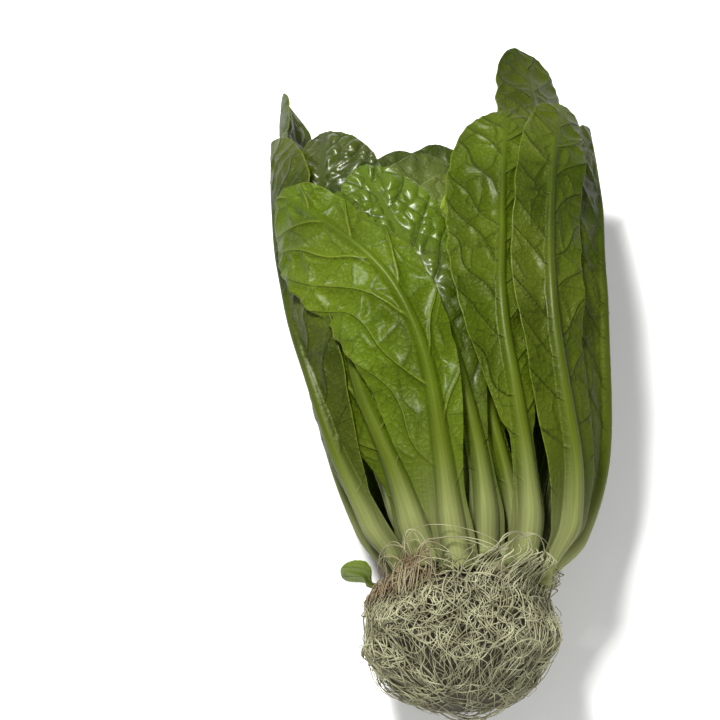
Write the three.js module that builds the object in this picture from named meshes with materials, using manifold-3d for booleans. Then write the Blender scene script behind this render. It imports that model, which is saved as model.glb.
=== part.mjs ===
// A bunch of young romaine lettuce with its roots, lying on its back on a flat surface.
// Millimetres, +Z up. The axis runs along +Y, from the root mat to the leaf tips.
//
// Every leaf lies on its own shell round the axis. A shell is a flattened, egg-like cross-section that
// widens from the crown to the blades, and "ring" is its size as a share of the outermost shell. Leaves
// on different rings pass over each other without touching. A place on a shell is given by s, the
// distance from the crown, and by an angle round the axis: 0 is the top, positive to the right.
import * as THREE from 'three';
import { mergeVertices } from 'three/addons/utils/BufferGeometryUtils.js';
import Module from 'manifold-3d';

const wasm = await Module();
wasm.setup();

// ---- Driving dimensions ------------------------------------------------------------------------

const AXIS_X = 2.8; // the axis, where it stands over the surface
const CROWN_Y = -107.1; // the crown, where the leaves and the roots begin
const BASE_HALF_WIDTH = 33; // the outermost shell at the crown, left to right
const FAN_HALF_WIDTH = 76; // what it tends to, far along the leaves
const FAN_SPREAD = 100; // how quickly it widens between them
const BASE_HALF_DEPTH = 23; // the same shell from its axis up or down: at the crown,
const BODY_HALF_DEPTH = 35; // in the body,
const TIP_HALF_DEPTH = 25; // and at the leaf tips, where the bunch sinks under its weight
const BODY_FROM = 110;
const TIPS_FROM = 150;
const LEAF_REACH = 250; // crown to the tallest tip
const UNDER_REACH = 205; // and to the tips that lie undermost
const INNER_BREADTH = 0.62; // inner shells are flatter than the outer ones: 1 would keep their shape
const SWAY = 3; // how far the bunch bends to one side and back
const SWAY_ALONG = 0.019; // radians of that bend a millimetre along the axis
const SWAY_ACROSS = 0.03; // and a millimetre up
const SLUMP = 0.04; // share by which the bunch is uneven in height
const CROWN_GROWTH = 13; // the length of stem below the crown that the bends are counted from

const BLADE = 0.9; // thickness of a blade
const RIB_HALF_WIDTH = 8.5; // the midrib at a leaf's foot
const RIB_TIP_HALF_WIDTH = 1.6;
const RIB_TAPER = 0.55; // below 1 it narrows soonest near the foot
const RIB_SHARE = 0.72; // the most of a blade's half width that it takes
const RIB_HEIGHT = 3.4; // how far it stands out of the back of the leaf there
const FOOT_HALF_WIDTH = 7.4; // the clasping foot of the leaf stalk
const STALK_HALF_WIDTH = 5.4; // the stalk above it
const FLOOR_CUT = 0.45; // how much the lowest midribs are pressed flat
const UNDER_CLEAR = 0.7; // the least height of the undermost blades' backs over the surface
const OUTER_WAVE = 1.3; // the waving of a blade's edge on top of the bunch
const INNER_WAVE = 0.4; // and between other leaves or on the surface

const CROWN_HEIGHT = 30; // the shortened stems, up to the heart leaves
const CROWN_DEPTH = 2; // and down into the roots
const CROWN_GAP = 0.6; // what is left free between the stems and a leaf's foot
const CROWN_CLEAR = 0.045; // and across the shells, as a share of the outermost one
const CROWN_FILL = 0.86; // the most of the outermost shell that the stems take up
const STEMS = [-21, 20]; // the two stems, left and right of the axis
const STEM_PULL = 0.5; // how strongly the stalks gather towards them
const STEM_REACH = 75; // and how far up the leaves that is felt

const ROOT_LENGTH = 36; // the root mat below the crown
const ROOT_HALF_WIDTH = 28.5;
const ROOT_HALF_DEPTH = 22;
const ROOT_SHIFT = -2; // how far the mat sits to the side of the axis
const ROOT_LUMPS = [1.1, 0.8]; // the height of its broad lumps and of its small ones
const CORE_SINK = 4; // how deep the ends of a root go into the core
const STRAND_RADIUS = 0.65; // one root
const STRAND_SIDES = 3;
const STRANDS = 34; // roots over the mat
const LOOPS = 9; // roots that arch up over the stalks

// ---- Small maths -------------------------------------------------------------------------------

const { lerp, smoothstep, degToRad } = THREE.MathUtils;
const TURN = 2 * Math.PI;

/** A repeatable stream of numbers from 0 to 1. */
function seeded(seed) {
  let state = seed;
  return () => {
    state = (state * 1664525 + 1013904223) % 4294967296;
    return state / 4294967296;
  };
}

// ---- The shells --------------------------------------------------------------------------------

const halfWidth = (s) => lerp(FAN_HALF_WIDTH, BASE_HALF_WIDTH, Math.exp(-s / FAN_SPREAD));

const halfDepth = (s) => {
  const body = lerp(BASE_HALF_DEPTH, BODY_HALF_DEPTH, smoothstep(s, 0, BODY_FROM));
  return lerp(body, TIP_HALF_DEPTH, smoothstep(s, TIPS_FROM, LEAF_REACH));
};

/** The midrib's height over the back of the blade, t of the way up a leaf. */
const ribHeight = (t) => RIB_HEIGHT * (1 - t) ** 0.8;

/** Height of the axis over the surface: the undermost midribs lie along it, pressed a little flat. */
const axisHeight = (s) => {
  const level = lerp(0.94, 0.988, smoothstep(s, 0, 80));
  const rib = ribHeight(Math.min(1, Math.max(0, s) / UNDER_REACH));
  return level * halfDepth(s) + BLADE / 2 + Math.max(rib - FLOOR_CUT, UNDER_CLEAR);
};

/** Radius of the unit cross-section at an angle from straight up: round above, flatter below. */
function sectionRadius(angle) {
  const power = 2.1 + 0.45 * (1 - Math.cos(angle));
  const sum = Math.abs(Math.sin(angle)) ** power + Math.abs(Math.cos(angle)) ** power;
  return sum ** (-1 / power);
}

/** Gathers the stalks towards the two stems, most of all at the crown. */
function gathered(x, s) {
  const spacing = STEMS[1] - STEMS[0];
  const pull = STEM_PULL * (1 - smoothstep(s, 0, STEM_REACH));
  return x - (pull * spacing * Math.sin((TURN * (x - STEMS[0])) / spacing)) / TURN;
}

/** The point at a distance s along the axis, on the shell of size ring, at an angle from straight up. */
function place(s, ring, angle) {
  const breadth = ring ** lerp(1, INNER_BREADTH, smoothstep(s, 0, 80));
  const unit = sectionRadius(angle);
  const x = gathered(halfWidth(s) * breadth * unit * Math.sin(angle), s);
  const z = axisHeight(s) + halfDepth(s) * ring * unit * Math.cos(angle);
  const along = s + CROWN_GROWTH;
  const sway = SWAY * Math.sin(SWAY_ALONG * along + SWAY_ACROSS * z);
  const slump = 1 + SLUMP * Math.sin(0.05 * x + 0.03 * along);
  return new THREE.Vector3(AXIS_X + x + sway, CROWN_Y + s, z * slump);
}

/** Millimetres along the shell for each radian of angle. */
function metric(s, ring, angle) {
  const step = 0.01;
  return place(s, ring, angle + step).distanceTo(place(s, ring, angle - step)) / (2 * step);
}

/** The direction straight out of the shell. */
function outward(s, ring, angle) {
  const round = place(s, ring, angle + 0.01).sub(place(s, ring, angle - 0.01));
  const along = place(s + 0.5, ring, angle).sub(place(s - 0.5, ring, angle));
  return round.cross(along).normalize();
}

// ---- Solids ------------------------------------------------------------------------------------

/** The closed manifold of a geometry. */
function solid(geometry) {
  const merged = mergeVertices(geometry, 1e-4);
  return new wasm.Manifold(new wasm.Mesh({
    numProp: 3,
    vertProperties: merged.attributes.position.array,
    triVerts: new Uint32Array(merged.index.array),
  }));
}

/** The largest of a manifold's separate pieces. */
function largest(body) {
  return body.decompose().reduce((best, piece) => (piece.volume() > best.volume() ? piece : best));
}

/** The geometry of a manifold. */
function surface(body) {
  const mesh = body.getMesh();
  const geometry = new THREE.BufferGeometry();
  geometry.setAttribute('position', new THREE.BufferAttribute(new Float32Array(mesh.vertProperties), 3));
  geometry.setIndex(Array.from(mesh.triVerts));
  return geometry;
}

/** A closed mesh from two equal grids of points, inner and outer, joined round their rim. */
function sheetPair(inner, outer, rows, columns) {
  const index = [];
  const at = (sheet, r, c) => sheet * inner.length + r * columns + c;
  const quad = (a, b, c, d) => index.push(a, b, c, a, c, d);
  for (let r = 0; r < rows - 1; r++) {
    for (let c = 0; c < columns - 1; c++) {
      quad(at(0, r, c), at(0, r + 1, c), at(0, r + 1, c + 1), at(0, r, c + 1));
      quad(at(1, r, c), at(1, r, c + 1), at(1, r + 1, c + 1), at(1, r + 1, c));
    }
    quad(at(0, r, 0), at(1, r, 0), at(1, r + 1, 0), at(0, r + 1, 0));
    quad(at(1, r, columns - 1), at(0, r, columns - 1), at(0, r + 1, columns - 1), at(1, r + 1, columns - 1));
  }
  for (let c = 0; c < columns - 1; c++) {
    quad(at(1, 0, c), at(0, 0, c), at(0, 0, c + 1), at(1, 0, c + 1));
    quad(at(0, rows - 1, c), at(1, rows - 1, c), at(1, rows - 1, c + 1), at(0, rows - 1, c + 1));
  }
  const geometry = new THREE.BufferGeometry().setFromPoints([...inner, ...outer]);
  geometry.setIndex(index);
  return geometry;
}

/** A closed mesh through rings of equal numbers of points, capped at both ends. */
function loft(rings) {
  const around = rings[0].length;
  const points = [...rings.flat(), centre(rings[0]), centre(rings.at(-1))];
  const index = [];
  for (let r = 0; r < rings.length - 1; r++) {
    for (let i = 0; i < around; i++) {
      const [a, b] = [r * around + i, r * around + ((i + 1) % around)];
      index.push(a, b + around, b, a, a + around, b + around);
    }
  }
  const last = (rings.length - 1) * around;
  for (let i = 0; i < around; i++) {
    const next = (i + 1) % around;
    index.push(points.length - 2, i, next, points.length - 1, last + next, last + i);
  }
  const geometry = new THREE.BufferGeometry().setFromPoints(points);
  geometry.setIndex(index);
  return geometry;
}

/** Evenly spaced points round the axis, from a function of their angle. */
function ringOf(count, point) {
  return Array.from({ length: count }, (_, i) => point((i / count) * TURN));
}

/** The middle of a ring of points. */
function centre(ring) {
  return ring.reduce((sum, p) => sum.add(p), new THREE.Vector3()).divideScalar(ring.length);
}

// ---- One leaf ----------------------------------------------------------------------------------

// Half width of a blade from where it leaves the stalk to its tip, as shares.
const OUTLINE = [[0, 0.16], [0.12, 0.34], [0.28, 0.62], [0.45, 0.86], [0.6, 0.98], [0.72, 1], [0.84, 0.87],
  [0.93, 0.56], [1, 0.14]];
const ROWS = [0, 0.07, 0.15, 0.23, 0.31, 0.4, 0.5, 0.6, 0.7, 0.79, 0.87, 0.94, 1];
const INNER_ROWS = [0, 0.1, 0.2, 0.32, 0.45, 0.58, 0.71, 0.83, 0.93, 1]; // for a leaf inside the bunch
const ACROSS_STEP = 2;

/** The share of its full half width that a blade has, u of the way up it. */
function outlineShare(u) {
  if (u <= 0) return 0;
  const next = Math.max(1, OUTLINE.findIndex(([at]) => at >= u));
  const [[from, low], [to, high]] = [OUTLINE[next - 1], OUTLINE[next]];
  return lerp(low, high, (u - from) / (to - from));
}

/** Width of a leaf in millimetres from its midrib to one edge, t of the way up: side -1 left, 1 right. */
function bladeWidth(leaf, t, side) {
  const stalk = lerp(FOOT_HALF_WIDTH, STALK_HALF_WIDTH, smoothstep(t, 0, 0.16)) * leaf.stalk * leaf.breadth;
  const share = outlineShare((t - leaf.bare) / (1 - leaf.bare)) ** leaf.taper;
  const blade = leaf.widths[side < 0 ? 0 : 1] * share;
  return Math.max(blade, stalk * (1 - t));
}

/** The midrib's course: for a share t of its length, the place on the shell and its heading there. */
function midribCourse(leaf) {
  const stations = leaf.course.map(([s, angle]) => new THREE.Vector2(s, degToRad(angle)));
  const curve = new THREE.SplineCurve(stations);
  const stops = curve.getPoints(160);
  const lengths = [0];
  for (let i = 1; i < stops.length; i++) {
    const [a, b] = [stops[i - 1], stops[i]];
    lengths.push(lengths[i - 1] + place(a.x, leaf.ring, a.y).distanceTo(place(b.x, leaf.ring, b.y)));
  }
  return (t) => {
    const goal = t * lengths.at(-1);
    const i = Math.max(1, lengths.findIndex((l) => l >= goal - 1e-9));
    const [a, b] = [stops[i - 1], stops[i]];
    const stop = a.clone().lerp(b, (goal - lengths[i - 1]) / (lengths[i] - lengths[i - 1]));
    const heading = Math.atan2((b.y - a.y) * metric(stop.x, leaf.ring, stop.y), b.x - a.x);
    return { s: stop.x, angle: stop.y, heading };
  };
}

/** A point of the leaf's middle surface and the way out of it, a signed distance across from the midrib. */
function leafPoint(leaf, course, t, across) {
  const { s: from, angle: start, heading } = course(t);
  const steps = Math.max(1, Math.ceil(Math.abs(across) / ACROSS_STEP));
  let [s, angle] = [from, start];
  for (let i = 0; i < steps; i++) {
    angle += ((across / steps) * Math.cos(heading)) / metric(s, leaf.ring, angle);
    s -= (across / steps) * Math.sin(heading);
  }
  const out = outward(s, leaf.ring, angle);
  const share = across / bladeWidth(leaf, t, across);
  const wave = leaf.wave * share ** 2 * Math.sin(TURN * (3.2 * t + leaf.phase + 0.3 * Math.sign(share)));
  const flare = leaf.flare * smoothstep(t, 0.25, 1) ** 1.5;
  const lift = wave * smoothstep(t, 0.2, 0.5) + flare;
  return { middle: place(s, leaf.ring, angle).addScaledVector(out, lift), out };
}

/** The closed solid of a leaf: an inner and an outer sheet with a rim, the outer raised at the midrib. */
function leafGeometry(leaf) {
  const course = midribCourse(leaf);
  const inner = [];
  const outer = [];
  for (const t of leaf.rows) {
    const side = (sign) => {
      const width = bladeWidth(leaf, t, sign);
      const full = lerp(RIB_HALF_WIDTH * leaf.stalk * leaf.breadth, RIB_TIP_HALF_WIDTH, t ** RIB_TAPER);
      const rib = Math.min(full, RIB_SHARE * width);
      return [[rib / 2, 0.72], [rib, 0], [lerp(rib, width, 0.5), 0], [width, 0]];
    };
    const left = side(-1).reverse().map(([across, height]) => [-across, height]);
    for (const [across, height] of [...left, [0, 1], ...side(1)]) {
      const { middle, out } = leafPoint(leaf, course, t, across);
      inner.push(middle.clone().addScaledVector(out, -BLADE / 2));
      outer.push(middle.clone().addScaledVector(out, BLADE / 2 + height * ribHeight(t) * leaf.stalk));
    }
  }
  return sheetPair(inner, outer, leaf.rows.length, inner.length / leaf.rows.length);
}

// ---- The leaves --------------------------------------------------------------------------------

// name; ring; the midrib's course as [s, angle in degrees]; width from it to the left and right edge;
// share of the length that is bare stalk; how broad the stalk is beside the usual; and how quickly the blade
// widens from it, below 1 for a strap of nearly even width.
const LEAVES = [
  ['front_leaf_a', 1.0, [[0, -8], [33, -9], [64, -12], [90, -20], [112, -34], [128, -46], [146, -60]],
    [29, 14], 0.04, 1, 0.88],
  ['front_leaf_b', 1.0, [[0, 61], [29, 50], [61, 39], [99, 35], [156, 38], [194, 44]],
    [14, 13], 0.04, 1, 0.4],
  ['front_leaf_c', 0.94, [[0, -63], [33, -63], [66, -68], [100, -78], [150, -82], [192, -80]],
    [20, 26], 0.12],
  ['front_leaf_d', 0.91, [[0, 27], [60, 20], [90, 18], [120, 20], [184, 23]], [21, 18], 0.2, 1, 0.8],
  ['front_leaf_e', 0.93, [[0, 91], [36, 83], [68, 72], [113, 68], [174, 75], [200, 76]],
    [18, 19], 0.12, 1, 0.7],
  ['front_leaf_f', 0.88, [[0, -28], [27, -36], [45, -41], [63, -43], [90, -40], [140, -37]],
    [22, 14], 0.12, 1.3],
  ['front_leaf_g', 0.81, [[0, 5], [40, 3], [80, -4], [112, -14], [156, -30]], [19, 19], 0.2],
  ['front_leaf_h', 0.65, [[0, 26], [50, 13], [95, 10], [124, 11]], [10, 10], 0.3],
  ['front_leaf_i', 0.7, [[0, -56], [21, -54], [54, -52], [94, -55], [127, -55], [190, -50]], [25, 25], 0.2],
  ['tall_leaf', 0.72, [[0, 74], [80, 48], [160, 45], [225, 43], [250, 36]], [17, 17], 0.2, 1, 0.5],
  ['back_leaf_a', 1.0, [[0, 150], [60, 158], [206, 162]], [33, 16], 0.15],
  ['back_leaf_b', 1.0, [[0, -150], [60, -158], [210, -162]], [16, 33], 0.15],
  ['back_leaf_c', 0.86, [[0, -105], [80, -111], [160, -116], [240, -110]], [20, 24], 0.15, 1, 0.6],
  ['back_leaf_d', 0.86, [[0, 122], [80, 112], [200, 108]], [24, 20], 0.15],
  ['back_leaf_e', 0.9, [[0, 180], [80, 178], [228, 176]], [31, 31], 0.15],
  ['back_leaf_f', 0.79, [[0, -143], [80, -142], [222, -146]], [29, 29], 0.15],
  ['back_leaf_g', 0.78, [[0, 154], [80, 142], [226, 138]], [29, 29], 0.15],
  ['back_leaf_h', 0.7, [[0, -168], [80, -168], [218, -168]], [29, 29], 0.15],
  ['heart_leaf_a', 0.58, [[0, 175], [80, 178], [212, 184]], [29, 29], 0.2],
  ['heart_leaf_b', 0.56, [[0, -90], [80, -92], [200, -96]], [25, 25], 0.2],
  ['heart_leaf_c', 0.5, [[0, 88], [80, 94], [198, 100]], [25, 25], 0.2],
  ['heart_leaf_d', 0.45, [[0, 0], [80, -8], [150, -24]], [20, 20], 0.2],
  ['heart_leaf_e', 0.33, [[0, 150], [80, 160], [190, 170]], [24, 24], 0.2],
  ['heart_leaf_f', 0.24, [[0, 40], [80, 36], [172, 34]], [17, 17], 0.2],
];

const leaves = LEAVES.map(([name, ring, course, widths, bare, breadth = 1, taper = 1], i) => ({
  name,
  ring,
  course: course.map(([s, angle], at) => [at ? s : CROWN_GAP + CROWN_HEIGHT * (1 - ring), angle]),
  widths,
  bare,
  stalk: lerp(0.45, 1, ring),
  breadth,
  taper,
  rows: ring >= 0.85 ? ROWS : INNER_ROWS,
  wave: ring === 1 && Math.abs(course[0][1]) < 90 ? OUTER_WAVE : INNER_WAVE,
  flare: 0,
  phase: 0.37 * i,
}));

// A short, round first leaf, low on the left.
leaves.push({
  name: 'first_leaf',
  ring: 1.04,
  course: [[CROWN_GAP, -88], [4, -87], [9, -86]],
  widths: [8.5, 8.5],
  bare: 0.04,
  stalk: 0.35,
  breadth: 1,
  taper: 1,
  rows: INNER_ROWS,
  wave: 0,
  flare: 6,
  phase: 0,
});

// ---- The crown and the roots -------------------------------------------------------------------

/** The two shortened stems, grown together: a cone that the leaves' feet stand round. */
function crownGeometry() {
  const around = 28;
  const levels = [-CROWN_DEPTH, -0.5 * CROWN_DEPTH, 0, 6, 12, 18, 24];
  const rings = levels.map((s) => {
    const ring = Math.min(CROWN_FILL, 1 - s / CROWN_HEIGHT - CROWN_CLEAR);
    return ringOf(around, (angle) => place(s, ring, -angle));
  });
  return loft(rings);
}

/** Half the width and half the depth of the root mat, u of the way down it. */
function matSize(u) {
  const swell = Math.sqrt(Math.max(0, 1 - ((u - 0.32) / 0.72) ** 2));
  return [ROOT_HALF_WIDTH * swell, ROOT_HALF_DEPTH * swell];
}

/** A point of the root mat at u down it and an angle from straight up, some millimetres over its surface. */
function matPoint(u, angle, over) {
  const [width, depth] = matSize(u);
  const [broad, small] = ROOT_LUMPS;
  const lump = broad * Math.sin(3 * angle + 9 * u) + small * Math.sin(7 * angle - 14 * u + 1);
  const x = (width + lump + over) * Math.sin(angle) + ROOT_SHIFT;
  const z = axisHeight(0) + (depth + lump + over) * Math.cos(angle);
  return new THREE.Vector3(AXIS_X + x, CROWN_Y - CROWN_DEPTH - u * ROOT_LENGTH, z);
}

/** One root along a list of points. */
function strand(points, radius) {
  const path = new THREE.CatmullRomCurve3(points);
  const segments = Math.round(1.4 * points.length);
  const frames = path.computeFrenetFrames(segments, false);
  const rings = [];
  for (let i = 0; i <= segments; i++) {
    const middle = path.getPointAt(i / segments);
    rings.push(ringOf(STRAND_SIDES, (turn) => middle.clone()
      .addScaledVector(frames.normals[i], radius * Math.cos(turn))
      .addScaledVector(frames.binormals[i], -radius * Math.sin(turn))));
  }
  return loft(rings);
}

/** The root mat: a lumpy core that cups the crown, roots over it and roots that arch over the stalks. */
function rootGeometry() {
  const random = seeded(11);
  const between = (low, high) => lerp(low, high, random());
  const around = 24;
  const levels = [0.12, 0.3, 0.5, 0.7, 0.85, 0.97];
  const rim = [[-CROWN_DEPTH - 0.4, 0.93], [-1.1, 0.93], [-1.1, 1.02]];
  const core = loft([
    ...rim.map(([s, ring]) => ringOf(around, (angle) => place(s, ring, angle))),
    ...levels.map((u) => ringOf(around, (angle) => matPoint(u, angle, 0))),
  ]);
  const parts = [solid(core)];
  for (let i = 0; i < STRANDS; i++) {
    const start = ((i + 0.4 * random()) / STRANDS) * TURN;
    const drift = between(-0.7, 0.7);
    const [from, to] = [between(0.04, 0.3), between(0.7, 0.97)];
    const over = [-CORE_SINK, between(1.4, 2.2), between(1.2, 2.8), between(1.4, 2.2), -CORE_SINK];
    const points = over.map((rise, at) => {
      const share = at / (over.length - 1);
      return matPoint(lerp(from, to, share), start + drift * share + between(-0.12, 0.12), rise);
    });
    parts.push(solid(strand(points, STRAND_RADIUS)));
  }
  for (let i = 0; i < LOOPS; i++) {
    const from = degToRad(between(-62, -28));
    const to = degToRad(between(-22, 26));
    const top = between(2, 9);
    const arch = (share, s) => place(s, between(1.24, 1.31), lerp(from, to, share));
    const points = [matPoint(0.3, from, -CORE_SINK), matPoint(0.1, from, 5), arch(0.15, 0.5 * top),
      arch(0.5, top), arch(0.85, 0.6 * top), matPoint(0.1, to, 5.5), matPoint(0.35, to, -CORE_SINK)];
    parts.push(solid(strand(points, STRAND_RADIUS)));
  }
  return surface(largest(wasm.Manifold.union(parts).trimByPlane([0, 0, 1], 0)));
}

// ---- The bunch ---------------------------------------------------------------------------------

const COLOURS = { front: 0x55801f, tall: 0x3f6d16, back: 0x46751a, heart: 0x86a845, first: 0xa9b765 };

const bunch = new THREE.Group();

/** Adds one named solid to the bunch. */
function add(name, geometry, color, roughness) {
  const mesh = new THREE.Mesh(geometry, new THREE.MeshStandardMaterial({ color, roughness, metalness: 0 }));
  mesh.name = name;
  bunch.add(mesh);
}

for (const leaf of leaves) {
  const body = solid(leafGeometry(leaf)).trimByPlane([0, 0, 1], 0);
  add(leaf.name, surface(body), COLOURS[leaf.name.split('_')[0]], 0.45);
}
add('crown', crownGeometry(), 0xc9cf9a, 0.6);
add('root_mat', rootGeometry(), 0xbcab8a, 0.9);

export default bunch;
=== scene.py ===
"""The looks of a young romaine lettuce head with its roots, lying on its back.

Sizes are millimetres, as in the solids, and become metres where a mesh is made. The leaves lie on nested
shells round an axis along +Y. A place on a shell is given by s, the distance from the crown, by ring, the
shell's size as a share of the outermost one, and by an angle round the axis: 0 is straight up, positive to
the right, and pi is towards the floor. A place on a leaf is given by t, the share of the way up it, and by
x and y, the millimetres across from its midrib and along it.
"""

import logging
import math
from collections.abc import Sequence
from dataclasses import dataclass, field
from enum import Enum, IntEnum
from typing import Any

import bmesh
import bpy
import numpy as np
from mathutils import Euler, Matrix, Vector


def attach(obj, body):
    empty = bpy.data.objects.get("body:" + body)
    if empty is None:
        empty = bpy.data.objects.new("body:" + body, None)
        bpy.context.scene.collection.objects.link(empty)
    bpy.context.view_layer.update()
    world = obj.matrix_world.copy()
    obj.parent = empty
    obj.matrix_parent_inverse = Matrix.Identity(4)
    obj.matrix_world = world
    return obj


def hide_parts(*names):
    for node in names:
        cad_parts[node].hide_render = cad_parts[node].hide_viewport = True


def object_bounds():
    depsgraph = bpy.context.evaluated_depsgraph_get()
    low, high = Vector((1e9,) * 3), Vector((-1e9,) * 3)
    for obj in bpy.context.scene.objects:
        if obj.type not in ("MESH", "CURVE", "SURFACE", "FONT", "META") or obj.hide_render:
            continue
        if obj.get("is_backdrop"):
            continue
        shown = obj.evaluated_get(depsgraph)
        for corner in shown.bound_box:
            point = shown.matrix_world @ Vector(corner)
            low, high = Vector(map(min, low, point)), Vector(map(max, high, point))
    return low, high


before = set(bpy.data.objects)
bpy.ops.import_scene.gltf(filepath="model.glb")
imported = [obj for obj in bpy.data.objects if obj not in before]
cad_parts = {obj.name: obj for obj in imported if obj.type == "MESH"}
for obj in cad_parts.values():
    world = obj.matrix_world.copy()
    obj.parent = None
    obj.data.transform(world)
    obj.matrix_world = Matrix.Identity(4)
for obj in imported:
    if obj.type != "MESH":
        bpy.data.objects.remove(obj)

log = logging.getLogger("romaine")

MM = 0.001
TURN = 2 * math.pi
BODY = "root"

Array = np.ndarray
Colour = tuple[float, float, float]
Triple = tuple[float, float, float]


# ---- Small maths ---------------------------------------------------------------------------------------


def lerp(low: Any, high: Any, share: Any) -> Any:
    """Returns the value a share of the way from low to high."""
    return low + (high - low) * share


def smoothstep(value: Any, low: Any, high: Any) -> Any:
    """Returns 0 below low, 1 above high, and an even ease between them."""
    x = np.clip((value - low) / (high - low), 0.0, 1.0)
    return x * x * (3 - 2 * x)


def through(points: Sequence[Sequence[float]], count: int) -> Array:
    """Samples a smooth curve through points.

    Args:
        points: the points that the curve passes through, of any dimension.
        count: how many samples to take, evenly between the points.

    Returns:
        An array of count samples.
    """
    p = np.asarray(points, float)
    p = np.vstack([p[:1], p, p[-1:]])
    at = np.linspace(0, len(p) - 3 - 1e-9, count)
    i = at.astype(int)
    f = (at - i)[:, None]
    a, b, c, d = p[i], p[i + 1], p[i + 2], p[i + 3]
    return 0.5 * (2 * b + (c - a) * f + (2 * a - 5 * b + 4 * c - d) * f**2 + (3 * b - a - 3 * c + d) * f**3)


@dataclass
class Unevenness:
    """A smooth, repeatable unevenness over a plane, between about -1 and 1: waves in seeded directions."""

    seed: int
    wavelength: float
    terms: int = 7
    waves: Array = field(init=False)

    def __post_init__(self) -> None:
        """Draws the waves' directions, lengths and phases."""
        random = np.random.default_rng(self.seed)
        heading = random.uniform(0, TURN, self.terms)
        pitch = TURN / (self.wavelength * random.uniform(0.7, 1.5, self.terms))
        phase = random.uniform(0, TURN, self.terms)
        self.waves = np.stack([pitch * np.cos(heading), pitch * np.sin(heading), phase])

    def __call__(self, x: Array, y: Array) -> Array:
        """Returns the unevenness at x and y."""
        kx, ky, phase = self.waves
        waves = np.sin(x[..., None] * kx + y[..., None] * ky + phase)
        return waves.sum(-1) / math.sqrt(2 * self.terms)


# ---- Shader graphs as Python expressions ---------------------------------------------------------------


class Value:
    """One number socket of a material, with arithmetic that adds Math nodes."""

    def __init__(self, shader: "Shader", socket: bpy.types.NodeSocket) -> None:
        """Wraps an output socket.

        Args:
            shader: the material that the socket belongs to.
            socket: the output socket.
        """
        self.shader = shader
        self.socket = socket

    def _math(self, operation: str, *others: Any) -> "Value":
        """Returns the result of a Math node on this value and others."""
        return self.shader.math(operation, self, *others)

    def __add__(self, other: Any) -> "Value":
        """Returns self + other."""
        return self._math("ADD", other)

    __radd__ = __add__

    def __mul__(self, other: Any) -> "Value":
        """Returns self * other."""
        return self._math("MULTIPLY", other)

    __rmul__ = __mul__

    def __sub__(self, other: Any) -> "Value":
        """Returns self - other."""
        return self._math("SUBTRACT", other)

    def __rsub__(self, other: Any) -> "Value":
        """Returns other - self."""
        return self.shader.math("SUBTRACT", other, self)

    def least(self, other: Any) -> "Value":
        """Returns the smaller of this and other."""
        return self._math("MINIMUM", other)

    def most(self, other: Any) -> "Value":
        """Returns the larger of this and other."""
        return self._math("MAXIMUM", other)

    def to_edge(self) -> "Value":
        """Returns the distance to the nearest whole number, up to 0.5."""
        part = self._math("FRACT")
        return part.least(1 - part)

    def step(self, low: Any, high: Any) -> "Value":
        """Returns 0 below low, 1 above high, and an even ease between them."""
        sockets = {"Value": self, "From Min": low, "From Max": high}
        node = self.shader.node("ShaderNodeMapRange", {"interpolation_type": "SMOOTHSTEP"}, sockets)
        return Value(self.shader, node.outputs["Result"])

    def within(self, low: Any, high: Any) -> "Value":
        """Returns 1 below low, 0 above high, and an even ease between them."""
        return 1 - self.step(low, high)


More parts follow.
